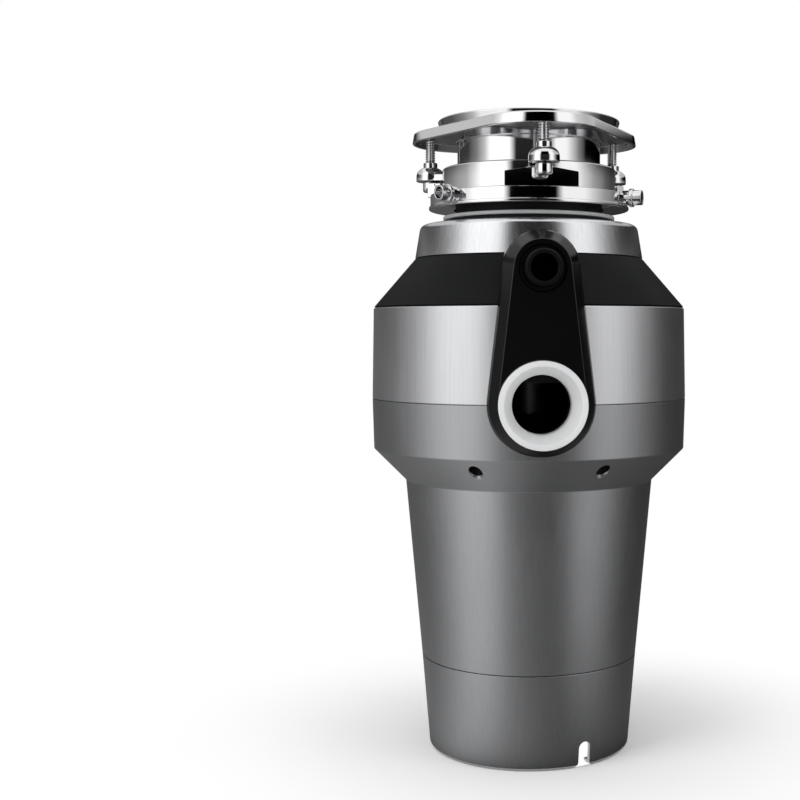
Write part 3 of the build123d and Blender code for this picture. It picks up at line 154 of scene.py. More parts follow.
# Holes of the shells, where a pair named CUT is a cutter's start and end
NOTCH_ANGLE = 27.3
NOTCH_HALF = 3.75
NOTCH_H = 14.9
NOTCH_LOW = -0.01
NOTCH_FLARE = 3.2
NOTCH_CUT = (50, 70)
PLATE_CUT = (18, 25)
PLATE_HOLE_R = 9.5
PLATE_SCREW_R = 2.2
PLATE_SCREW_PITCH_R = 51.0
PLATE_SCREW_ANGLES = (0, 120, 240)
GLAND_R = 6.9
GLAND_PITCH_R = 42.0
BUTTON_R = 6.0
BUTTON_PLACE = (-36.0, 0, 0)
COVER_SCREW_R = 1.7
COVER_SCREW_PLACE = (18.5, 33.0, 0)
WIRES_HOLE = ((-10, 29), (10, 29), (10, 37), (-10, 37))
RECESS_ANGLES = (-24.0, 24.0, 156.0, 204.0)
RECESS_PITCH_R = 85.7
RECESS_R = 3.75
RECESS_TOP = 186.4
RECESS_RIM = 0.45
BOSS_R = 5.05
BOSS_TOP = 189.4
BOSS_HOLE_R = 2.2

# Outlet side
OUTLET_Z = 210.6
INLET_Z = 283.1
HOUSING_LOW_R = 28.4
HOUSING_HIGH_R = 20.0
HOUSING_FRONT = 100.0
HOUSING_BACK = 58.0
HOUSING_WALL = 3.0
HOUSING_GAP = 0.25
HOUSING_CUT = (40, 120)
FACE_SKIN = 0.004
BEVEL_IN = 4.6
BEVEL_DEEP = 7.0
SKIRT_OUT = 1.0
SKIRT_DEEP = 2.5
SPIGOT_R = 23.8
SPIGOT_FACE = 104.5
SPIGOT_RIM = 3.0
SPIGOT_BORE_R = 16.1
SPIGOT_CONE = 10.0
SPIGOT_TUBE_R = 19.5
SPIGOT_SEAT = 2.0
SPIGOT_END = 85.5
NIPPLE_R = 9.5
NIPPLE_BORE_R = 7.2
NIPPLE_ROOT = 56.0
NIPPLE_TIP = 110.0
NIPPLE_RECESS_R = 12.3
NIPPLE_RECESS = 3.0
BARB = 0.7
BARB_L = 4.0
PORT_GAP = 0.6
PORT_SLIP = 0.1
PORT_CUT = (60, 99)

# Neck and mount
NECK_BORE_R = 44.3
SEAL_R = 48.5
SEAL_LOW = 309.0
LIP_RING_R = 51.4
LIP_RING_Z = 316.0
LIP_RING_TOP = 318.2
LOCK_Z = 322.0
LOCK_R = 59.0
LOCK_WALL = 1.8
LOCK_TOP = 331.0
LOCK_HOLE_R = 45.0
LOCK_WEB = 2.0
LOCK_BEAD = 0.9
HOOK_TOP = 340.0
HOOK_PEAK = 341.5
HOOK_SHOULDER = 339.0
HOOK_HALF = 21.0
HOOK_FLAT_HALF = 6.3
HOOK_FACE = 57.5
HOOK_BACK_R = 56.2
HOOK_CORE = (56.5, 57.3)
HOOK_LIP_R = 53.2
HOOK_LIP_T = 2.7
HOOK_DROP = 0.4
HOOK_CUT = (30, 90)
HOOK_CUT_MIDDLE = 150
LUG_ANGLES = (-51.5, 68.5, 188.5)
LUG_Z = 328.0
LUG_R = 4.4
LUG_BORE_R = 3.2
LUG_COLLAR_R = 5.4
LUG_COLLAR = (62.0, 64.4)
LUG_FLOOR = 60.0
LUG_END = 69.5
EAR_ANGLES = (3.0, 123.0, 243.0)
EAR_PITCH_R = 66.1
EAR_Z = 342.3
EAR_BOSS_R = 8.75
EAR_TOP = 351.0
EAR_DOME = 5.6
EAR_ARM_HALF = 6.5
EAR_ARM_T = 4.6
EAR_COLLAR_R = 4.3
EAR_COLLAR_TOP = 354.0
EAR_SLIP = 0.05
SLEEVE_R = 42.75
SLEEVE_BORE_R = 41.25
SLEEVE_Z = 331.3
RING_R = 51.8
RING_WALL = 2.0
RING_TOP = 346.3
RAMP_R = 56.0
RAMP_LOW = 334.8
RAMP_HIGH = 337.0
RAMP_HALF = 19.0
RAMP_STEPS = 12
GROOVE_LOW = 342.3
GROOVE_HIGH = 344.3
GROOVE_R = 42.15
RIM_LOW_R = 53.0
RIM_R = 54.5
RIM_Z = 369.8
RIM_TOP = 374.5
RIM_EDGE = 1.4
RIM_LIP = 2.6
RIM_DISH = 3.0
SCREW_R = 3.175
SCREW_HEAD_R = 4.7
SCREW_HEAD_Z = 335.7
SCREW_HEAD_TOP = 341.9
SCREW_SLOT = 1.2
SCREW_TIP = 368.0
THREAD_PITCH = 1.5
THREAD_DEPTH = 0.8
THREAD_ROWS = 6
THREAD_STEPS = 40
THREAD_SHARP = math.radians(75)
BACKUP_Z = 363.4
BACKUP_TOP = 369.8
BACKUP_T = 1.8
BACKUP_LEAN = 1.1
BACKUP_SKIN = 0.25
BACKUP_INSET = 8
BACKUP_GAP = 0.4
BACKUP_CORNER = 38.5
BACKUP_LOBE_R = 35.5
BACKUP_HOLE_R = 43.05
BACKUP_COLLAR_R = 44.25
BACKUP_COLLAR_Z = 361.6

# How finely curves are stepped, and from which angle an edge is sharp
STEPS = 240
PORT_STEPS = 160
SUNK_STEPS = 128
SMALL_STEPS = 64
ARC_STEP = math.radians(15)
SMOOTH = math.radians(35)

# How near points are one, or lie on a side, a corner or the axis, and how alike two ways are
WELD = 0.0005
CUT_WELD = 0.01
ON_SIDE = 0.06
ON_CORNER = 0.02
ON_AXIS = 0.001
SAME_WAY = 0.985

MM = 0.001
FACING = Matrix.Rotation(math.pi / 2, 4, "X")


def at(angle, radius, height):
    """A point at an angle from the outlet."""
    turn = math.radians(angle)
    return Vector((radius * math.sin(turn), -radius * math.cos(turn), height))


# Materials

def node_group(name, inputs, outputs):
    """A shader group with named inputs and outputs, and its two end nodes."""
    group = bpy.data.node_groups.new(name, "ShaderNodeTree")
    for side, labels in (("INPUT", inputs), ("OUTPUT", outputs)):
        for label in labels:
            group.interface.new_socket(label, in_out=side, socket_type="NodeSocketFloat")
    return group, group.nodes.new("NodeGroupInput"), group.nodes.new("NodeGroupOutput")


def fill(node, inputs):
    """Gives inputs of a node their values, or links them to outputs of other nodes."""
    for key, value in inputs.items():
        if isinstance(value, bpy.types.NodeSocket):
            node.id_data.links.new(value, node.inputs[key])
        else:
            node.inputs[key].default_value = value


def add(tree, kind, inputs=None, **settings):
    """Adds a node, sets its properties and fills its inputs."""
    node = tree.nodes.new(kind)
    for label, value in settings.items():
        setattr(node, label, value)
    fill(node, inputs or {})
    return node


def math_node(tree, operation, first, second):
    """Result of a math node on two numbers or sockets."""
    return add(tree, "ShaderNodeMath", {0: first, 1: second}, operation=operation).outputs[0]


def vector_length(tree, vector):
    """Length of a vector."""
    return add(tree, "ShaderNodeVectorMath", {0: vector}, operation="LENGTH").outputs["Value"]


def object_place(tree):
    """Where a point lies on its object."""
    return add(tree, "ShaderNodeTexCoord").outputs["Object"]


def make_streaks():
    """Fine lines that run up the object, as brushing leaves them: a value round 0.5."""
    group, source, target = node_group("streaks", ["Fineness", "Stretch"], ["Lines"])
    scale = add(group, "ShaderNodeCombineXYZ", {0: 1.0, 1: 1.0, 2: source.outputs["Stretch"]})
    factors = {0: object_place(group), 1: scale.outputs[0]}
    noise = add(group, "ShaderNodeTexNoise", {
        "Vector": add(group, "ShaderNodeVectorMath", factors, operation="MULTIPLY").outputs[0],
        "Scale": source.outputs["Fineness"],
        "Detail": 4.0,
        "Roughness": 0.65,
    })
    fill(target, {"Lines": noise.outputs["Fac"]})
    return group


def make_grain():
    """Even grain of moulded, cast or cellular surfaces, with slower cloudiness over it."""
    group, source, target = node_group("grain", ["Fineness", "Cloud"], ["Grain", "Clouds"])
    place = object_place(group)
    for label, detail, output in (("Fineness", 3.0, "Grain"), ("Cloud", 2.0, "Clouds")):
        inputs = {"Vector": place, "Scale": source.outputs[label], "Detail": detail}
        fill(target, {output: add(group, "ShaderNodeTexNoise", inputs).outputs["Fac"]})
    return group


STREAKS = make_streaks()
GRAIN = make_grain()


class Finish:
    """One material: a Principled shader whose varying sockets come from the shared groups."""

    def __init__(self, name, colour, metallic=0.0, ior=1.5):
        self.colour = colour
        self.material = bpy.data.materials.new(name)
        self.material.use_nodes = True
        self.tree = self.material.node_tree
        self.shader = self.tree.nodes["Principled BSDF"]
        fill(self.shader, {"Base Color": (*colour, 1.0), "Metallic": metallic, "IOR": ior})

    def group(self, group, **values):
        """Outputs of a shared group with its own values."""
        return add(self.tree, "ShaderNodeGroup", values, node_tree=group).outputs

    def spread(self, value, low, high):
        """Brings a pattern round 0.5 to a range."""
        inputs = {"Value": value, "From Min": 0.3, "From Max": 0.7, "To Min": low, "To Max": high}
        return add(self.tree, "ShaderNodeMapRange", inputs).outputs["Result"]

    def roughness(self, value, low, high):
        """Varies the roughness with a pattern."""
        fill(self.shader, {"Roughness": self.spread(value, low, high)})

    def tint(self, value, dark, light):
        """Varies the colour with a pattern, between two shares of it."""
        inputs = {"Factor": self.spread(value, 0.0, 1.0)}
        for key, share in (("A", dark), ("B", light)):
            inputs[key] = (*(min(1.0, share * part) for part in self.colour), 1.0)
        mix = add(self.tree, "ShaderNodeMix", inputs, data_type="RGBA")
        fill(self.shader, {"Base Color": mix.outputs["Result"]})

    def bump(self, value, depth):
        """Raises the surface with a pattern, by a depth in metres."""
        node = add(self.tree, "ShaderNodeBump", {"Height": value, "Distance": depth})
        fill(self.shader, {"Normal": node.outputs["Normal"]})


def brushed(name, colour, low, high, depth):
    """Brushed metal with lines that run up the shell."""
    finish = Finish(name, colour, metallic=1.0)
    lines = finish.group(STREAKS, Fineness=900.0, Stretch=0.012)["Lines"]
    clouds = finish.group(GRAIN, Cloud=18.0)["Clouds"]
    both = math_node(finish.tree, "ADD", lines, clouds)
    finish.roughness(math_node(finish.tree, "MULTIPLY", both, 0.5), low, high)
    finish.tint(lines, 0.94, 1.05)
    finish.bump(lines, depth)
    return finish.material


def polished(name, colour, low, high, depth):
    """Polished metal, faintly cloudy where it was buffed."""
    finish = Finish(name, colour, metallic=1.0)
    clouds = finish.group(GRAIN, Cloud=60.0)["Clouds"]
    finish.roughness(clouds, low, high)
    finish.bump(clouds, depth)
    return finish.material


def moulded(name, colour, low, high, depth, fineness=1500.0, ior=1.5):
    """Moulded plastic or rubber with an even grain."""
    finish = Finish(name, colour, ior=ior)
    grain = finish.group(GRAIN, Fineness=fineness, Cloud=20.0)
    finish.roughness(grain["Clouds"], low, high)
    finish.tint(grain["Clouds"], 0.9, 1.08)
    finish.bump(grain["Grain"], depth)
    return finish.material


def cast(name, colour, low, high, depth):
    """Cast or sintered metal."""
    finish = Finish(name, colour, metallic=1.0)
    grain = finish.group(GRAIN, Fineness=600.0, Cloud=60.0)
    finish.roughness(grain["Grain"], low, high)
    finish.tint(grain["Clouds"], 0.82, 1.0)
    finish.bump(grain["Grain"], depth)
    return finish.material


# Each slot's finish, colour, least and most roughness, depth in metres, fineness and refraction
RECIPES = {
    "silver_shell": (brushed, (0.72, 0.725, 0.74), 0.30, 0.40, 0.00001),
    # The cap's copy of the shell's finish is smoother, and a little lighter as painted light for the
    # stronger light that falls on the cap from above.
    "bright_cap": (brushed, (0.74, 0.745, 0.76), 0.20, 0.27, 0.00001),
    "grey_shell": (brushed, (0.45, 0.455, 0.465), 0.34, 0.44, 0.00001),
    "matte_black": (moulded, (0.003, 0.0033, 0.0036), 0.45, 0.58, 0.00003, 1500.0, 1.2),
    "gloss_black": (moulded, (0.001, 0.001, 0.0012), 0.14, 0.20, 0.000002),
    "white_plastic": (moulded, (0.70, 0.705, 0.71), 0.38, 0.48, 0.00001),
    "polished_steel": (polished, (0.80, 0.80, 0.81), 0.05, 0.09, 0.00002),
    "pale_ring": (moulded, (0.58, 0.59, 0.60), 0.25, 0.35, 0.00001),
    "black_rubber": (moulded, (0.008, 0.008, 0.008), 0.60, 0.75, 0.00003),
    "fibre": (moulded, (0.10, 0.10, 0.10), 0.80, 0.92, 0.00006),
    "black_plastic": (moulded, (0.008, 0.008, 0.0085), 0.50, 0.62, 0.00003, 1500.0, 1.35),
    "stainless": (brushed, (0.50, 0.505, 0.51), 0.38, 0.50, 0.00001),
    "plain_steel": (cast, (0.40, 0.40, 0.41), 0.34, 0.46, 0.00001),
    "cast_alloy": (cast, (0.50, 0.51, 0.52), 0.45, 0.65, 0.00008),
    "laminations": (cast, (0.16, 0.16, 0.17), 0.40, 0.55, 0.00003),
    "copper": (cast, (0.62, 0.26, 0.12), 0.30, 0.40, 0.00003),
    "bronze": (cast, (0.50, 0.33, 0.15), 0.38, 0.55, 0.00004),
    "foam": (moulded, (0.045, 0.045, 0.05), 0.85, 0.95, 0.0003, 500.0),
    "red_plastic": (moulded, (0.50, 0.015, 0.015), 0.25, 0.32, 0.00001),
    "pale_plastic": (moulded, (0.58, 0.58, 0.56), 0.45, 0.55, 0.00002),
}
MATERIALS = {name: finish(name, *values) for name, (finish, *values) in RECIPES.items()}


def coat(piece, slot):
    """Gives a piece the material of a slot."""
    piece.data.materials.clear()
    piece.data.materials.append(MATERIALS[slot])


def dress_nodes():
    """Gives each carried-over node the material of its slot."""
    for part in frame["record"]["subparts"]:
        coat(frame["nodes"][part["node"]], part["material_slot"])


# Shapes, as bmeshes in millimetres

def rounded(corners):
    """Closed outline through corners, each (across, up) or (across, up, rounding)."""
    points = []
    for index, corner in enumerate(corners):
        here = Vector(corner[:2])
        if len(corner) == 2:
            points.append(here)
            continue
        before = (Vector(corners[index - 1][:2]) - here).normalized()
        after = (Vector(corners[(index + 1) % len(corners)][:2]) - here).normalized()
        half = before.angle(after) / 2
        sweep = math.pi - 2 * half
        centre = here + (before + after).normalized() * corner[2] / math.sin(half)
        start = here + before * corner[2] / math.tan(half) - centre
        end = here + after * corner[2] / math.tan(half) - centre
        steps = max(2, round(sweep / ARC_STEP))
        for step in range(steps + 1):
            share = step / steps
            arm = start * math.sin((1 - share) * sweep) + end * math.sin(share * sweep)
            points.append(centre + arm / math.sin(sweep))
    return points


def spun(points, closed, steps):
    """Spins a chain of (across, up) points once about Z."""
    shape = bmesh.new()
    ring = [shape.verts.new((across, 0, up)) for across, up in points]
    pairs = list(zip(ring, ring[1:]))
    if closed:
        pairs.append((ring[-1], ring[0]))
    bmesh.ops.spin(
        shape,
        geom=ring + [shape.edges.new(pair) for pair in pairs],
        cent=(0, 0, 0),
        axis=(0, 0, 1),
        angle=math.tau,
        steps=steps,
        use_merge=True,
    )
    return shape


def lathe(corners, steps=STEPS):
    """Spins an outline of (radius, height) corners. It stays open where it starts and ends on the axis."""
    points = rounded(corners)
    shape = spun(points, points[0].x > 0, steps)
    bmesh.ops.remove_doubles(shape, verts=shape.verts, dist=WELD)
    return shape


def prism(outline, low, high):
    """Upright prism on an outline of (x, y) points."""
    shape = bmesh.new()
    face = shape.faces.new([shape.verts.new((x, y, low)) for x, y in outline])
    grown = bmesh.ops.extrude_face_region(shape, geom=[face])
    top = [item for item in grown["geom"] if isinstance(item, bmesh.types.BMVert)]
    bmesh.ops.translate(shape, vec=(0, 0, high - low), verts=top)
    return shape


def rod(radius, low, high, steps=SMALL_STEPS):
    """Upright cylinder on the axis."""
    return lathe([(0, low), (radius, low), (radius, high), (0, high)], steps)


def skin(shape, rings):
    """Puts faces between rings of corners, and one over each end."""
    for low, high in zip(rings, rings[1:]):
        for index, corner in enumerate(low):
            after = (index + 1) % len(low)
            shape.faces.new((corner, low[after], high[after], high[index]))
    shape.faces.new(rings[0])
    shape.faces.new(rings[-1])
    return shape


def loft(rounds, rows):
    """Solid through (inset, height) rows over arcs, each (x, y, radius, first, last angle)."""
    shape = bmesh.new()
    rings = []
    for inset, height in rows:
        ring = []
        for x, y, radius, first, last in rounds:
            for step in range(SMALL_STEPS + 1):
                angle = first + (last - first) * step / SMALL_STEPS
                reach = radius - inset
                spot = (x + reach * math.cos(angle), y + reach * math.sin(angle), height)
                ring.append(shape.verts.new(spot))
        rings.append(ring)
    return skin(shape, rings)


def moved(shape, place):
    """Puts a shape in its place."""
    bmesh.ops.transform(shape, matrix=place, verts=shape.verts)
    return shape


def round_to(angle):
    """Turn about the shaft axis to an angle from the outlet."""
    return Matrix.Rotation(math.radians(angle), 4, "Z")


def spoke(angle, reach):
    """Place at a distance from the shaft axis, turned to an angle from the outlet."""
    return round_to(angle) @ Matrix.Translation((0, -reach, 0))


def port(height):
    """Place whose own axis points out of the outlet side at a height."""
    return Matrix.Translation((0, 0, height)) @ FACING


def as_mesh(name, shape):
    """Turns a shape into a mesh."""
    mesh = bpy.data.meshes.new(name)
    shape.to_mesh(mesh)
    shape.free()
    return mesh


def joined(shapes):
    """One shape made of several."""
    whole = bmesh.new()
    for shape in shapes:
        mesh = as_mesh("part", shape)
        whole.from_mesh(mesh)
        bpy.data.meshes.remove(mesh)
    return whole


def bevel(shape, edges, width):
    """Rounds edges of a shape."""
    bmesh.ops.bevel(shape, geom=edges, offset=width, affect="EDGES", segments=2, profile=0.5, material=-1)


# Pieces

def placed(name, data):
    """New object in the scene."""
    thing = bpy.data.objects.new(name, data)
    bpy.context.scene.collection.objects.link(thing)
    return thing


def as_object(name, shape):
    """Turns a shape in millimetres into an object, with its faces turned outwards."""
    bmesh.ops.recalc_face_normals(shape, faces=shape.faces)
    bmesh.ops.scale(shape, vec=(MM, MM, MM), verts=shape.verts)
    return placed(name, as_mesh(name, shape))


def discard(piece):
    """Removes an object and its mesh."""
    mesh = piece.data
    bpy.data.objects.remove(piece)
    bpy.data.meshes.remove(mesh)


def cut(piece, shape):
    """Takes a shape away from a piece."""
    cutter = as_object("cutter", shape)
    modifier = piece.modifiers.new("cut", "BOOLEAN")
    modifier.operation = "DIFFERENCE"
    modifier.solver = "EXACT"
    modifier.object = cutter
    graph = bpy.context.evaluated_depsgraph_get()
    result = bpy.data.meshes.new_from_object(piece.evaluated_get(graph))
    piece.modifiers.clear()
    old = piece.data
    piece.data = result
    result.name = piece.name
    bpy.data.meshes.remove(old)
    discard(cutter)


class Turned:
    """The surface of a turned piece: which faces lie on it, and which normals its outline gives them."""

    def __init__(self, corners):
        points = rounded(corners)
        ends = points[1:] + points[:1]
        area = sum(a.x * b.y - b.x * a.y for a, b in zip(points, ends))
        side = 1 if area > 0 else -1
        outwards = [side * Vector((b.y - a.y, a.x - b.x)) for a, b in zip(points, ends)]
        self.sides = []
        for index, (start, end) in enumerate(zip(points, ends)):
            out = outwards[index]
            before = outwards[index - 1]
            after = outwards[(index + 1) % len(points)]
            first = out + before if out.angle(before) < SMOOTH else out
            last = out + after if out.angle(after) < SMOOTH else out
            self.sides.append((start, end, out.normalized(), first.normalized(), last.normalized()))
        self.known = {}

    def side_at(self, centre, normal):
        """The side of the outline that a face lies on, or None for a face that a cut left."""
        spot = Vector((centre.xy.length, centre.z))
        lean = Vector((normal.xy.dot(centre.xy.normalized()), normal.z))
        key = (round(spot.x, 2), round(spot.y, 2), round(lean.x, 1), round(lean.y, 1))
        if key not in self.known:
            self.known[key] = None
            for side in self.sides:
                start, end, out = side[:3]
                along = end - start
                share = min(1.0, max(0.0, (spot - start).dot(along) / along.length_squared))
                near = (start + along * share - spot).length < ON_SIDE
                if near and out.dot(lean) > SAME_WAY:
                    self.known[key] = side
        return self.known[key]

    def bevel_cuts(self, piece, width):
        """Rounds the edges that cuts left in the surface."""
        shape = bmesh.new()
        shape.from_mesh(piece.data)
        bmesh.ops.remove_doubles(shape, verts=shape.verts, dist=CUT_WELD * MM)
        rims = []
        for edge in shape.edges:
            faces = edge.link_faces
            if len(faces) == 2 and edge.calc_face_angle(0) > SMOOTH:
                on = [self.side_at(face.calc_center_median() / MM, face.normal) for face in faces]
                if on.count(None) == 1:
                    rims.append(edge)
        bevel(shape, rims, width * MM)
        shape.to_mesh(piece.data)
        shape.free()

    def smooth(self, piece):
        """Gives the surface the outline's normals, so that a cut leaves no mark in it."""
        mesh = piece.data
        mesh.shade_smooth()
        mesh.set_sharp_from_angle(angle=SMOOTH)
        normals = [Vector(corner.vector) for corner in mesh.corner_normals]
        for face in mesh.polygons:
            side = self.side_at(face.center / MM, face.normal)
            if side is None:
                continue
            start, end, out, first, last = side
            for loop in face.loop_indices:
                spot = mesh.vertices[mesh.loops[loop].vertex_index].co / MM
                place = Vector((spot.xy.length, spot.z))
                lean = out
                if (place - start).length < ON_CORNER:
                    lean = first
                if (place - end).length < ON_CORNER:
                    lean = last
                away = spot.xy.normalized() if place.x > ON_AXIS else Vector((0, 0))
                normals[loop] = Vector((away.x * lean.x, away.y * lean.x, lean.y)).normalized()
        mesh.normals_split_custom_set(normals)


def weigh_normals(piece):
    """Keeps flat faces flat in their shading, next to rounded edges."""
    piece.data.shade_smooth()
    piece.data.set_sharp_from_angle(angle=SMOOTH)
    modifier = piece.modifiers.new("normals", "WEIGHTED_NORMAL")
    modifier.keep_sharp = True


def dress_piece(piece, slot, body="root"):
    """Says what a piece is made of and what it moves with."""
    coat(piece, slot)
    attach(piece, body)


def declare(piece, node, slot, body="root"):
    """Hides the node that a piece stands in for, and says what the piece is made of and what it moves
    with.
    """
    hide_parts(node)
    dress_piece(piece, slot, body)


def turned_piece(node, slot, corners, cuts=(), rim=0.3, body="root"):
    """A turned piece with holes cut in it."""
    piece = as_object(node + "_piece", lathe(corners))
    surface = Turned(corners)
    for shape in cuts:
        cut(piece, shape)
    if cuts:
        surface.bevel_cuts(piece, rim)
    surface.smooth(piece)
    declare(piece, node, slot, body)
    return piece


def port_cuts():
    """The holes of the shells for the spigot and the nipple."""
    low, high = PORT_CUT
    outlet = moved(rod(SPIGOT_TUBE_R + PORT_GAP, low, high), port(OUTLET_Z))
    inlet = moved(rod(NIPPLE_R + PORT_GAP, NIPPLE_ROOT, high), port(INLET_Z))
    return joined([outlet, inlet])


def notch_cut():
    """Slot for the supply cord: round at the top and flared at the foot."""
    wide = 3 * NOTCH_HALF
    rounding = NOTCH_HALF - 0.1
    outline = rounded([
        (-NOTCH_HALF, NOTCH_H, rounding),
        (-NOTCH_HALF, NOTCH_LOW, NOTCH_FLARE),
        (-wide, NOTCH_LOW),
        (-wide, NOTCH_LOW - 2),
        (wide, NOTCH_LOW - 2),
        (wide, NOTCH_LOW),
        (NOTCH_HALF, NOTCH_LOW, NOTCH_FLARE),
        (NOTCH_HALF, NOTCH_H, rounding),
    ])
    return moved(prism(outline, *NOTCH_CUT), round_to(NOTCH_ANGLE) @ FACING)


def lip(outer_r, seam, root, wall_r):
    """Corners of a lip that stands up into the next shell, from the seam to its root on the wall."""
    outside = outer_r - SHELL_WALL - LIP_SLIP
    inside = outside - LIP_WALL
    return [
        (outside, seam - SEAM),
        (outside, seam + LIP_H, EDGE),
        (inside, seam + LIP_H, EDGE),
        (inside, root),
        (wall_r, root),
    ]


def make_base_cap():
    """Open skirt with a recessed plate, a cord notch and the holes of the plate."""
    slope = (BASE_TOP_R - BASE_FOOT_R) / BASE_H
    top = BASE_H - SEAM
    root = BASE_H - LIP_H

    def inner(height):
        """Radius of the inside of the skirt."""
        return BASE_FOOT_R + slope * height - BASE_WALL

    corners = [
        (PLATE_HOLE_R, PLATE_LOW, 0.3),
        (inner(PLATE_LOW), PLATE_LOW, 1.0),
        (inner(FOOT_T), FOOT_T, 0.8),
        (FOOT_INNER_R, FOOT_T, 0.6),
        (FOOT_INNER_R, 0, 0.8),
        (BASE_FOOT_R, 0, FOOT_ROUND),
        (BASE_FOOT_R + slope * top, top, EDGE),
        *lip(BASE_TOP_R, BASE_H, root, inner(root)),
        (inner(PLATE_HIGH), PLATE_HIGH),
        (PLATE_HOLE_R, PLATE_HIGH, 0.3),
    ]
    places = [
        *((PLATE_SCREW_R, spoke(angle, PLATE_SCREW_PITCH_R)) for angle in PLATE_SCREW_ANGLES),
        (GLAND_R, spoke(NOTCH_ANGLE, GLAND_PITCH_R)),
        (BUTTON_R, Matrix.Translation(BUTTON_PLACE)),
        (COVER_SCREW_R, Matrix.Translation(COVER_SCREW_PLACE)),
    ]
    holes = [moved(rod(radius, *PLATE_CUT), place) for radius, place in places]
    holes.append(prism(WIRES_HOLE, *PLATE_CUT))
    turned_piece("base_cap", "grey_shell", corners, [notch_cut(), joined(holes)])


def recess_boss(angle):
    """Blind tube behind a hole of the flare, whose foot follows the slope of the flare."""
    shape = lathe([
        (RECESS_R, WAIST_Z),
        (BOSS_R, WAIST_Z),
        (BOSS_R, BOSS_TOP),
        (BOSS_HOLE_R, BOSS_TOP),
        (BOSS_HOLE_R, RECESS_TOP),
        (RECESS_R, RECESS_TOP),
    ], SMALL_STEPS)
    slope = (BELLY_Z - WAIST_Z) / (BELLY_R - WAIST_R)
    bmesh.ops.translate(shape, vec=(0, -RECESS_PITCH_R, 0), verts=shape.verts)
    for corner in shape.verts:
        if corner.co.z < RECESS_TOP - 1:
            corner.co.z = WAIST_Z + slope * (corner.co.xy.length - WAIST_R) + SHELL_WALL / 2
    return moved(shape, round_to(angle))


def make_lower_shell():
    """Long lower shell: tapered motor part, flare and belt, with four deep screw holes."""
    corners = [
        (BASE_TOP_R, BASE_H, EDGE),
        (WAIST_R, WAIST_Z, 1.0),
        (BELLY_R, BELLY_Z, 1.2),
        (BELT_R, BELT_Z - SEAM, EDGE),
        *lip(BELT_R, BELT_Z, BELT_Z - LIP_H, BELT_R - SHELL_WALL - 0.1),
        (BELLY_R - SHELL_WALL, BELLY_Z),
        (WAIST_R - SHELL_WALL, WAIST_Z),
        (BASE_TOP_R - SHELL_WALL, BASE_H),
    ]
    places = [spoke(angle, RECESS_PITCH_R) for angle in RECESS_ANGLES]
    recesses = joined([moved(rod(RECESS_R, WAIST_Z, BELLY_Z + 3), place) for place in places])
    turned_piece("lower_shell", "grey_shell", corners, [recesses, port_cuts()], RECESS_RIM)
    # The bosses are black as painted shade: they make the deep screw holes read dark.
    bosses = as_object("shell_bosses", joined([recess_boss(angle) for angle in RECESS_ANGLES]))
    weigh_normals(bosses)
    dress_piece(bosses, "matte_black")


def make_upper_shell():
    """Bright upper shell."""
    corners = [
        (BELT_R, BELT_Z, EDGE),
        (SHOULDER_R, SHOULDER_Z - SEAM, 0.6),
        (SHOULDER_R - SHELL_WALL, SHOULDER_Z - SEAM),
        (BELT_R - SHELL_WALL, BELT_Z),
    ]
    turned_piece("upper_shell", "silver_shell", corners, [port_cuts()])


def make_shoulder_cone():
    """Matte cone, with one lip down into the upper shell and one up into the top cap."""
    slope = (SHOULDER_R - CAP_R) / (CAP_Z - SEAM - SHOULDER_Z)
    low_r = SHOULDER_R - SHELL_WALL - LIP_SLIP
    foot = SHOULDER_Z + 1.2
    head = CAP_Z - LIP_WALL
    head_r = SHOULDER_R - slope * (head - SHOULDER_Z) - CONE_WALL
    corners = [
        (SHOULDER_R, SHOULDER_Z, 0.4),
        (CAP_R, CAP_Z - SEAM, 0.4),
        *lip(CAP_R - CAP_LEAN * LIP_H, CAP_Z, head, head_r),
        (low_r - LIP_WALL, foot),
        (low_r - LIP_WALL, SHOULDER_Z - LIP_H, EDGE),
        (low_r, SHOULDER_Z - LIP_H, EDGE),
        (low_r, SHOULDER_Z),
    ]
    turned_piece("shoulder_cone", "matte_black", corners, [port_cuts()])


def make_top_cap():
    """Bright cap round the neck, with a rounded upper edge: a smoother copy of the shell's finish, a
    little lighter as painted light.
    """
    under = CAP_TOP_Z - SHELL_WALL
    corners = [
        (CAP_R, CAP_Z, EDGE),
        (CAP_TOP_R, CAP_TOP_Z, CAP_ROUND),
        (CAP_HOLE_R, CAP_TOP_Z, EDGE),
        (CAP_HOLE_R, under),
        (CAP_R - CAP_LEAN * (under - CAP_Z) - SHELL_WALL, under, 1.8),
        (CAP_R - SHELL_WALL, CAP_Z),
    ]
    coat(turned_piece("top_cap", "silver_shell", corners, [port_cuts()]), "bright_cap")


def make_neck():
    """Rubber seal in the cap's hole, and the pale ring that lies on it."""
    tail_r = CAP_HOLE_R - 0.1
    seal = [
        (NECK_BORE_R, SEAL_LOW),
        (tail_r, SEAL_LOW),
        (tail_r, CAP_TOP_Z),
        (SEAL_R, CAP_TOP_Z, 0.5),
        (SEAL_R, LIP_RING_Z, 0.5),
        (NECK_BORE_R, LIP_RING_Z),
    ]
    turned_piece("neck_seal", "black_rubber", seal)
    ring = [
        (NECK_BORE_R, LIP_RING_Z),
        (LIP_RING_R, LIP_RING_Z, 0.66),
        (LIP_RING_R, LIP_RING_TOP, 0.66),
        (NECK_BORE_R, LIP_RING_TOP, 0.3),
    ]
    turned_piece("neck_lip", "pale_ring", ring)


def teardrop(inset=0.0):
    """Arcs of the housing's outline: two rounds joined by their tangents."""
    lean = math.asin((HOUSING_LOW_R - HOUSING_HIGH_R) / (INLET_Z - OUTLET_Z))
    high = (0, INLET_Z, HOUSING_HIGH_R - inset, lean, math.pi - lean)
    low = (0, OUTLET_Z, HOUSING_LOW_R - inset, math.pi - lean, math.tau + lean)
    return [high, low]


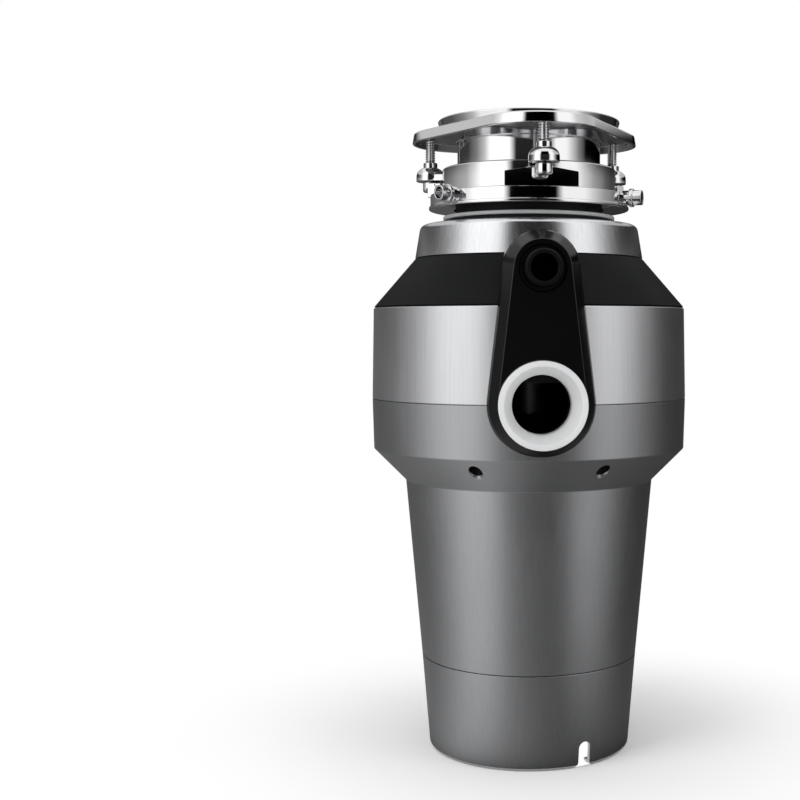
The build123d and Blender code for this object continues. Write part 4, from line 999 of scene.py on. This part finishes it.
def shells_within(gap):
    """Everything inside the shells, grown by a gap."""
    return lathe([
        (0, PLATE_LOW),
        (BASE_TOP_R + gap, PLATE_LOW),
        (BASE_TOP_R + gap, BASE_H),
        (WAIST_R + gap, WAIST_Z - gap),
        (BELLY_R + gap, BELLY_Z - gap),
        (BELT_R + gap, BELT_Z),
        (SHOULDER_R + gap, SHOULDER_Z + gap),
        (CAP_R + gap, CAP_Z + gap),
        (CAP_TOP_R + gap, CAP_TOP_Z + gap),
        (0, CAP_TOP_Z + gap),
    ])


def sunk(radius, depth, rounding):
    """Cutter for a hole of a depth in the housing's face, with a rounded rim."""
    low = HOUSING_FRONT - depth
    front = HOUSING_FRONT + FACE_SKIN
    wide = radius + 2 * rounding
    return lathe([
        (0, low),
        (radius, low, 0.2),
        (radius, front, rounding),
        (wide, front),
        (wide, front + 2),
        (0, front + 2),
    ], SUNK_STEPS)


def make_discharge_housing():
    """Glossy cover over both ports, hollow behind, shaped to the shells that it bears on."""
    rows = rounded([
        (-SKIRT_OUT, HOUSING_BACK),
        (-SKIRT_OUT, HOUSING_FRONT - BEVEL_DEEP - SKIRT_DEEP, 0.8),
        (0, HOUSING_FRONT - BEVEL_DEEP, 2.6),
        (BEVEL_IN, HOUSING_FRONT, 0.9),
        (BEVEL_IN + 6, HOUSING_FRONT),
    ])
    piece = as_object("discharge_housing_piece", moved(loft(teardrop(), rows), FACING))
    ends = [(0, HOUSING_BACK - 5), (0, HOUSING_FRONT - BEVEL_DEEP - HOUSING_WALL)]
    hollow = as_object("hollow", moved(loft(teardrop(HOUSING_WALL), ends), FACING))
    for radius, height in ((SPIGOT_TUBE_R, OUTLET_Z), (NIPPLE_RECESS_R, INLET_Z)):
        cut(hollow, moved(rod(radius + HOUSING_WALL, *HOUSING_CUT), port(height)))
    inside = bmesh.new()
    inside.from_mesh(hollow.data)
    bmesh.ops.scale(inside, vec=(1 / MM, 1 / MM, 1 / MM), verts=inside.verts)
    discard(hollow)
    cut(piece, shells_within(HOUSING_GAP))
    cut(piece, inside)
    for shape, height in (
        (sunk(NIPPLE_RECESS_R, NIPPLE_RECESS, 0.8), INLET_Z),
        (sunk(SPIGOT_R + PORT_SLIP, SPIGOT_SEAT, 0.4), OUTLET_Z),
        (rod(NIPPLE_R + PORT_SLIP, *HOUSING_CUT), INLET_Z),
        (rod(SPIGOT_TUBE_R + PORT_SLIP, *HOUSING_CUT), OUTLET_Z),
    ):
        cut(piece, moved(shape, port(height)))
    weigh_normals(piece)
    declare(piece, "discharge_housing", "gloss_black")


def port_piece(node, slot, corners, height):
    """A turned piece whose axis points out of the outlet side."""
    piece = as_object(node + "_piece", moved(lathe(corners, PORT_STEPS), port(height)))
    weigh_normals(piece)
    declare(piece, node, slot)


def make_discharge_spigot():
    """White outlet ring: flat rim, cone down to the bore, and the tube that meets the duct."""
    seat = HOUSING_FRONT - SPIGOT_SEAT
    corners = [
        (SPIGOT_BORE_R, SPIGOT_END, 0.4),
        (SPIGOT_TUBE_R, SPIGOT_END, 0.4),
        (SPIGOT_TUBE_R, seat),
        (SPIGOT_R, seat),
        (SPIGOT_R, SPIGOT_FACE, 0.75),
        (SPIGOT_R - SPIGOT_RIM, SPIGOT_FACE, 0.75),
        (SPIGOT_BORE_R, SPIGOT_FACE - SPIGOT_CONE, 3.2),
    ]
    port_piece("discharge_spigot", "white_plastic", corners, OUTLET_Z)


def make_inlet_nipple():
    """Hose nipple, with a barb at its tip."""
    corners = [
        (NIPPLE_BORE_R, NIPPLE_ROOT),
        (NIPPLE_R, NIPPLE_ROOT),
        (NIPPLE_R, NIPPLE_TIP - BARB_L),
        (NIPPLE_R + BARB, NIPPLE_TIP - BARB_L, 0.2),
        (NIPPLE_R, NIPPLE_TIP, 1.0),
        (NIPPLE_BORE_R, NIPPLE_TIP, 1.0),
    ]
    port_piece("inlet_nipple", "matte_black", corners, INLET_Z)


def make_sink_flange():
    """Polished flange with its sleeve."""
    edge_r = RIM_LOW_R - RIM_EDGE
    corners = [
        (SLEEVE_BORE_R, SLEEVE_Z, 0.4),
        (SLEEVE_R, SLEEVE_Z, 0.4),
        (SLEEVE_R, GROOVE_LOW),
        (GROOVE_R, GROOVE_LOW),
        (GROOVE_R, GROOVE_HIGH),
        (SLEEVE_R, GROOVE_HIGH),
        (SLEEVE_R, RIM_Z + RIM_EDGE),
        (edge_r, RIM_Z + RIM_EDGE),
        (edge_r, RIM_Z, 0.3),
        (RIM_LOW_R, RIM_Z, 0.4),
        (RIM_R, RIM_TOP, 0.7),
        (RIM_R - RIM_LIP, RIM_TOP, 0.7),
        (SLEEVE_BORE_R, RIM_TOP - RIM_DISH, 1.6),
    ]
    turned_piece("sink_flange", "polished_steel", corners)


def make_backup_flange():
    """Pressed plate with a skirt and a lobe over each mount screw, its collar and its inside."""
    under = BACKUP_TOP - BACKUP_T
    rounds = []
    for angle in EAR_ANGLES:
        centre = at(angle, BACKUP_CORNER, 0)
        middle = math.radians(angle - 90)
        ends = (middle - math.pi / 3, middle + math.pi / 3)
        rounds.append((centre.x, centre.y, BACKUP_LOBE_R, *ends))
    rows = rounded([
        (BACKUP_T + BACKUP_INSET, under),
        (BACKUP_T + BACKUP_LEAN, under, 0.6),
        (BACKUP_T, BACKUP_Z, 0.5),
        (0, BACKUP_Z, 0.5),
        (BACKUP_LEAN, BACKUP_TOP, 1.3),
        (BACKUP_INSET, BACKUP_TOP),
    ])
    piece = as_object("backup_flange_piece", loft(rounds, rows))
    cut(piece, rod(BACKUP_HOLE_R + BACKUP_GAP, BACKUP_Z, BACKUP_TOP + 2, STEPS))
    collar = as_object("backup_collar", lathe([
        (BACKUP_HOLE_R, BACKUP_COLLAR_Z, 0.3),
        (BACKUP_COLLAR_R, BACKUP_COLLAR_Z, 0.3),
        (BACKUP_COLLAR_R, BACKUP_TOP - 0.3),
        (BACKUP_HOLE_R, BACKUP_TOP - 0.3, 0.3),
    ]))
    edge = BACKUP_T + BACKUP_LEAN + 0.3
    inside = as_object("backup_inside", loft(rounds, [(edge, under - BACKUP_SKIN), (edge, under)]))
    cut(inside, rod(BACKUP_COLLAR_R, BACKUP_Z, BACKUP_TOP + 2, STEPS))
    for each in (piece, collar, inside):
        weigh_normals(each)
    dress_piece(collar, "polished_steel")
    dress_piece(inside, "plain_steel")
    declare(piece, "backup_flange", "polished_steel")


def ear(angle):
    """One ear of the mounting ring: ramp, arm, domed boss and collar."""
    hole = SCREW_R + EAR_SLIP
    ramp = []
    for radius, side in ((RAMP_R, 1), (RING_R - 1, -1)):
        for step in range(RAMP_STEPS + 1):
            spot = at(RAMP_HALF * (2 * step / RAMP_STEPS - 1) * side, radius, 0)
            ramp.append((spot.x, spot.y))
    arm = rounded([
        (-EAR_ARM_HALF, EAR_Z, 0.4),
        (EAR_ARM_HALF, EAR_Z, 0.4),
        (EAR_ARM_HALF, EAR_Z + EAR_ARM_T, 1.5),
        (-EAR_ARM_HALF, EAR_Z + EAR_ARM_T, 1.5),
    ])
    boss = lathe([
        (hole, EAR_Z, 0.2),
        (EAR_BOSS_R, EAR_Z, 0.6),
        (EAR_BOSS_R, EAR_TOP, EAR_DOME - 0.1),
        (hole, EAR_TOP),
    ], SMALL_STEPS)
    collar = lathe([
        (hole, EAR_TOP - 2),
        (EAR_COLLAR_R, EAR_TOP - 2),
        (EAR_COLLAR_R, EAR_COLLAR_TOP, 0.5),
        (hole, EAR_COLLAR_TOP, 0.2),
    ], SMALL_STEPS)
    place = Matrix.Translation((0, -EAR_PITCH_R, 0))
    shapes = [
        prism(ramp, RAMP_LOW, RAMP_HIGH),
        moved(prism(arm, RING_R - 1, EAR_PITCH_R - hole), FACING),
        moved(boss, place),
        moved(collar, place),
    ]
    return [moved(shape, round_to(angle)) for shape in shapes]


def make_mounting_ring():
    """Polished ring round the sleeve, with three ears."""
    hole_r = SLEEVE_R + 0.3
    corners = [
        (RING_R - RING_WALL, SLEEVE_Z, 0.4),
        (RING_R, SLEEVE_Z, 0.6),
        (RING_R, RING_TOP, 1.2),
        (hole_r, RING_TOP, 0.4),
        (hole_r, RING_TOP - RING_WALL),
        (RING_R - RING_WALL, RING_TOP - RING_WALL, 0.6),
    ]
    shapes = [lathe(corners)]
    for angle in EAR_ANGLES:
        shapes += ear(angle)
    piece = as_object("mounting_ring_piece", joined(shapes))
    weigh_normals(piece)
    declare(piece, "mounting_ring", "polished_steel")


def threaded(low, high):
    """A rod with a helical thread, and a chamfered tip."""
    rows = round((high - low) / THREAD_PITCH * THREAD_ROWS)
    shape = bmesh.new()
    rings = []
    for row in range(rows + 1):
        height = low + (high - low) * row / rows
        ring = []
        for step in range(THREAD_STEPS):
            phase = (height / THREAD_PITCH - step / THREAD_STEPS) % 1.0
            radius = SCREW_R - THREAD_DEPTH * (1 - abs(2 * phase - 1))
            radius = min(radius, SCREW_R - THREAD_DEPTH + (high - height))
            turn = math.tau * step / THREAD_STEPS
            ring.append(shape.verts.new((radius * math.cos(turn), radius * math.sin(turn), height)))
        rings.append(ring)
    return skin(shape, rings)


def make_mount_screws():
    """Three jack screws: slotted heads under the ears, and threads above them."""
    head = [
        (0, SCREW_HEAD_Z),
        (SCREW_HEAD_R, SCREW_HEAD_Z, 1.5),
        (SCREW_HEAD_R, SCREW_HEAD_TOP, 0.5),
        (0, SCREW_HEAD_TOP),
    ]
    places = [Matrix.Translation(at(angle, EAR_PITCH_R, 0)) for angle in EAR_ANGLES]
    shapes = [moved(lathe(head, SMALL_STEPS), place) for place in places]
    heads = as_object("mount_screw_heads", joined(shapes))
    half = SCREW_SLOT / 2
    wide = 2 * SCREW_HEAD_R
    slot = [(-wide, -half), (wide, -half), (wide, half), (-wide, half)]
    for angle, place in zip(EAR_ANGLES, places):
        shape = prism(slot, SCREW_HEAD_Z - 1, SCREW_HEAD_Z + 2 * SCREW_SLOT)
        cut(heads, moved(shape, place @ round_to(angle)))
    weigh_normals(heads)
    declare(heads, "mount_screws", "polished_steel")
    shapes = [moved(threaded(SCREW_HEAD_TOP - 0.5, SCREW_TIP), place) for place in places]
    threads = as_object("mount_screw_threads", joined(shapes))
    threads.data.shade_smooth()
    threads.data.set_sharp_from_angle(angle=THREAD_SHARP)
    dress_piece(threads, "polished_steel")


def hook_gap(angle):
    """Cutter for the space between two hooks, above the band."""
    near, far = HOOK_CUT
    outline = [round_to(angle) @ Vector((HOOK_HALF, -reach, 0)) for reach in (near, far)]
    outline.append(at(angle + 60, HOOK_CUT_MIDDLE, 0))
    outline += [round_to(angle + 120) @ Vector((-HOOK_HALF, -reach, 0)) for reach in (far, near)]
    return prism([(point.x, point.y) for point in outline], LOCK_TOP, HOOK_PEAK + 5)


def hook_outline(drop):
    """A hook seen from outside: upright ends and a peaked top, lowered by a drop."""
    foot = LOCK_TOP - 0.5
    return [
        (-HOOK_HALF, foot, 0.3),
        (HOOK_HALF, foot, 0.3),
        (HOOK_HALF, HOOK_SHOULDER - drop, 0.8),
        (HOOK_FLAT_HALF, HOOK_PEAK - drop, 3.0),
        (-HOOK_FLAT_HALF, HOOK_PEAK - drop, 3.0),
        (-HOOK_HALF, HOOK_SHOULDER - drop, 0.8),
    ]


def hook_roof(angle):
    """Cutter that takes the lathe-turned core of a hook down below its sloping top."""
    slope = [corner[:2] for corner in hook_outline(HOOK_DROP)[2:]]
    low = slope[0][1] - HOOK_DROP
    high = HOOK_PEAK + 6
    wide = HOOK_HALF + 2
    outline = [(wide, low), *slope[1:3], (-wide, low), (-wide, high), (wide, high)]
    return moved(prism(outline, *HOOK_CUT), round_to(angle) @ FACING)


def hook_face(angle):
    """Flat front of one hook, with a rounded rim."""
    shape = prism(rounded(hook_outline(0)), HOOK_LIP_R - 3, HOOK_FACE)
    rim = [edge for edge in shape.edges if min(end.co.z for end in edge.verts) > HOOK_FACE - 0.01]
    bevel(shape, rim, EDGE)
    return moved(shape, round_to(angle) @ FACING)


def make_locking_ring():
    """Lower ring of the mount: band, web, three hooks and three lugs."""
    inner_r = LOCK_R - LOCK_WALL
    top = HOOK_PEAK + 2
    ledge = LOCK_TOP - 0.3
    core_low, core_high = HOOK_CORE
    corners = [
        (LOCK_HOLE_R, LOCK_Z, 0.3),
        (LOCK_R + LOCK_BEAD, LOCK_Z, 0.6),
        (LOCK_R + LOCK_BEAD, LOCK_Z + 2, 0.6),
        (LOCK_R, LOCK_Z + 2, 0.25),
        (LOCK_R, ledge, 0.3),
        (core_high, ledge),
        (core_high, top),
        (core_low, top),
        (core_low, HOOK_TOP),
        (HOOK_LIP_R, HOOK_TOP, 0.5),
        (HOOK_LIP_R, HOOK_TOP - HOOK_LIP_T, 0.5),
        (core_low, HOOK_TOP - HOOK_LIP_T, 0.5),
        (core_low, LOCK_TOP - 1),
        (inner_r, LOCK_TOP - 1),
        (inner_r, LOCK_Z + LOCK_WEB, 0.8),
        (LOCK_HOLE_R, LOCK_Z + LOCK_WEB, 0.3),
    ]
    cuts = [shape(angle) for shape in (hook_gap, hook_roof) for angle in EAR_ANGLES]
    turned_piece("locking_ring", "polished_steel", corners, cuts, 0.2, "locking_ring")
    faces = as_object("locking_hooks", joined([hook_face(angle) for angle in EAR_ANGLES]))
    cut(faces, rod(HOOK_BACK_R, LOCK_Z, HOOK_PEAK + 5, STEPS))
    root = LOCK_R - LOCK_WALL / 2
    collar_low, collar_high = LUG_COLLAR
    tube = [
        (0, root),
        (LUG_R, root),
        (LUG_R, collar_low),
        (LUG_COLLAR_R, collar_low, 0.5),
        (LUG_COLLAR_R, collar_high, 0.5),
        (LUG_R, collar_high),
        (LUG_R, LUG_END, 0.4),
        (LUG_BORE_R, LUG_END, 0.3),
        (LUG_BORE_R, LUG_FLOOR),
        (0, LUG_FLOOR),
    ]
    places = [round_to(angle) @ port(LUG_Z) for angle in LUG_ANGLES]
    tubes = [moved(lathe(tube, SMALL_STEPS), place) for place in places]
    lugs = as_object("locking_lugs", joined(tubes))
    for piece in (faces, lugs):
        weigh_normals(piece)
        dress_piece(piece, "polished_steel", "locking_ring")


def make_pieces():
    """Everything that shows from outside."""
    make_base_cap()
    make_lower_shell()
    make_upper_shell()
    make_shoulder_cone()
    make_top_cap()
    make_neck()
    make_discharge_housing()
    make_discharge_spigot()
    make_inlet_nipple()
    make_sink_flange()
    make_backup_flange()
    make_mounting_ring()
    make_mount_screws()
    make_locking_ring()


# Studio

def make_camera():
    """Camera at the photograph's place, looking a little down."""
    data = bpy.data.cameras.new("camera")
    data.lens = CAMERA_LENS
    data.shift_x = CAMERA_SHIFT
    camera = placed("camera", data)
    camera.location = at(CAMERA_AZIMUTH, CAMERA_DISTANCE, CAMERA_HEIGHT)
    camera.rotation_euler = (math.radians(90 - CAMERA_DOWN), 0, math.radians(CAMERA_AZIMUTH))
    bpy.context.scene.camera = camera


def rays_seen(tree, *kinds):
    """1 for rays of the named kinds, and 0 for all others."""
    outputs = add(tree, "ShaderNodeLightPath").outputs
    seen = outputs[kinds[0]]
    for kind in kinds[1:]:
        seen = math_node(tree, "MAXIMUM", seen, outputs[kind])
    return seen


def blend(tree, share, first, second):
    """Goes from one value to another by a share."""
    inputs = {"Factor": share, "A": first, "B": second}
    return add(tree, "ShaderNodeMix", inputs, data_type="FLOAT").outputs["Result"]


def make_sky():
    """White to the eye and in reflections, and a plain light on everything else."""
    world = bpy.data.worlds.new("sky")
    bpy.context.scene.world = world
    world.use_nodes = True
    tree = world.node_tree
    seen = rays_seen(tree, "Is Camera Ray", "Is Glossy Ray", "Is Transmission Ray")
    strength = blend(tree, seen, SKY_LIGHT, SKY_LEVEL)
    fill(tree.nodes["Background"], {"Color": (1.0, 1.0, 1.0, 1.0), "Strength": strength})


def studio_piece(name, shape):
    """Object of the studio with a material of its own, and that material's tree."""
    mesh = as_mesh(name, shape)
    material = bpy.data.materials.new(name)
    material.use_nodes = True
    mesh.materials.append(material)
    return placed(name, mesh), material.node_tree


def make_floor():
    """Pale floor that keeps the shadow, fades into the white behind it, glows white under the base as
    painted light over the shade there, and is clear from below.
    """
    shape = bmesh.new()
    bmesh.ops.create_circle(shape, cap_ends=True, segments=SMALL_STEPS, radius=FLOOR_SIZE)
    floor, tree = studio_piece("floor", shape)
    shader = tree.nodes["Principled BSDF"]
    fill(shader, {"Base Color": FLOOR_COLOUR, "Roughness": FLOOR_ROUGHNESS, "Specular IOR Level": 0.0})
    length = vector_length(tree, object_place(tree))
    inputs = {"Value": length, "From Min": FLOOR_FADE[0], "From Max": FLOOR_FADE[1]}
    fade = add(tree, "ShaderNodeMapRange", inputs, interpolation_type="SMOOTHSTEP")
    # Under the base the floor glows white: painted light over the shade that falls there.
    within = math_node(tree, "LESS_THAN", length, FLOOR_GLOW_WITHIN)
    backdrop_and_glow_share = math_node(tree, "MAXIMUM", fade.outputs["Result"], within)
    seen = rays_seen(tree, "Is Camera Ray", "Is Glossy Ray")
    above = add(tree, "ShaderNodeMixShader", {
        0: math_node(tree, "MULTIPLY", backdrop_and_glow_share, seen),
        1: shader.outputs[0],
        2: add(tree, "ShaderNodeEmission").outputs[0],
    })
    both = add(tree, "ShaderNodeMixShader", {
        0: add(tree, "ShaderNodeNewGeometry").outputs["Backfacing"],
        1: above.outputs[0],
        2: add(tree, "ShaderNodeBsdfTransparent").outputs[0],
    })
    fill(tree.nodes["Material Output"], {"Surface": both.outputs[0]})


def grade(tree, value, stops, span, start=0.0):
    """Level read from (place, level) stops, as a value runs over a span."""
    ramp = add(tree, "ShaderNodeValToRGB", {"Fac": value})
    elements = ramp.color_ramp.elements
    for index, (place, level) in enumerate(stops):
        stop = elements[index] if index < 2 else elements.new(1.0)
        stop.position = place / span + start
        stop.color = (level, level, level, 1.0)
    return ramp.outputs["Color"]


def make_wall():
    """Curved studio wall that only reflections show: bright boxes on both sides of a dark front."""
    corners = [(WALL_NEAR, WALL_LIFT), (WALL_FAR, WALL_LIFT), (WALL_FAR, WALL_TOP)]
    wall, tree = studio_piece("studio_wall", spun(corners, False, WALL_STEPS))
    tree.nodes.remove(tree.nodes["Principled BSDF"])
    across, deep, up = add(tree, "ShaderNodeSeparateXYZ", {0: object_place(tree)}).outputs
    angle = math_node(tree, "ARCTAN2", across, math_node(tree, "MULTIPLY", deep, -1.0))
    turn = math_node(tree, "DIVIDE", angle, math.tau)
    turn = math_node(tree, "ADD", turn, 0.5 - CAMERA_AZIMUTH / 360)
    turn = math_node(tree, "FRACT", turn, 0.0)
    flat = add(tree, "ShaderNodeCombineXYZ", {"X": across, "Y": deep})
    along = math_node(tree, "ADD", vector_length(tree, flat.outputs[0]), up)
    along = math_node(tree, "DIVIDE", along, WALL_REACH)

    def around(levels):
        """Level of a table at the angle."""
        return grade(tree, turn, levels, 360, 0.5)

    def outwards(shares):
        """Share of a table at the distance."""
        return grade(tree, along, shares, WALL_REACH)

    floor = math_node(tree, "MULTIPLY", around(FLOOR_LEVELS), outwards(FOOT_SHADE))
    level = around(WALL_LEVELS)
    for levels, shares in ((MOUNT_LEVELS, MOUNT_SHARE), (HIGH_LEVELS, HIGH_SHARE)):
        level = blend(tree, outwards(shares), level, around(levels))
    level = blend(tree, outwards(WALL_SHARE), floor, level)
    tone = add(tree, "ShaderNodeEmission", {"Color": level, "Strength": WALL_STRENGTH})
    fill(tree.nodes["Material Output"], {"Surface": tone.outputs[0]})
    wall.visible_camera = False
    wall.visible_diffuse = False
    wall.visible_transmission = False
    wall.visible_shadow = False


def make_lamp(name, angle, distance, height, width, length, power):
    """Soft box that looks at the middle of the object."""
    data = bpy.data.lights.new(name, "AREA")
    data.shape = "RECTANGLE"
    data.size = width
    data.size_y = length
    data.energy = power
    lamp = placed(name, data)
    lamp.location = at(angle, distance, height)
    aim = Vector(LAMP_AIM) - lamp.location
    lamp.rotation_euler = aim.to_track_quat("-Z", "Y").to_euler()
    lamp.visible_glossy = False


def make_studio():
    """Camera, sky, floor, lamps and the wall that metal reflects."""
    make_camera()
    make_sky()
    make_floor()
    make_wall()
    for lamp in LAMPS:
        make_lamp(*lamp)


dress_nodes()
make_pieces()
make_studio()
bpy.context.scene.view_settings.view_transform = "Standard"
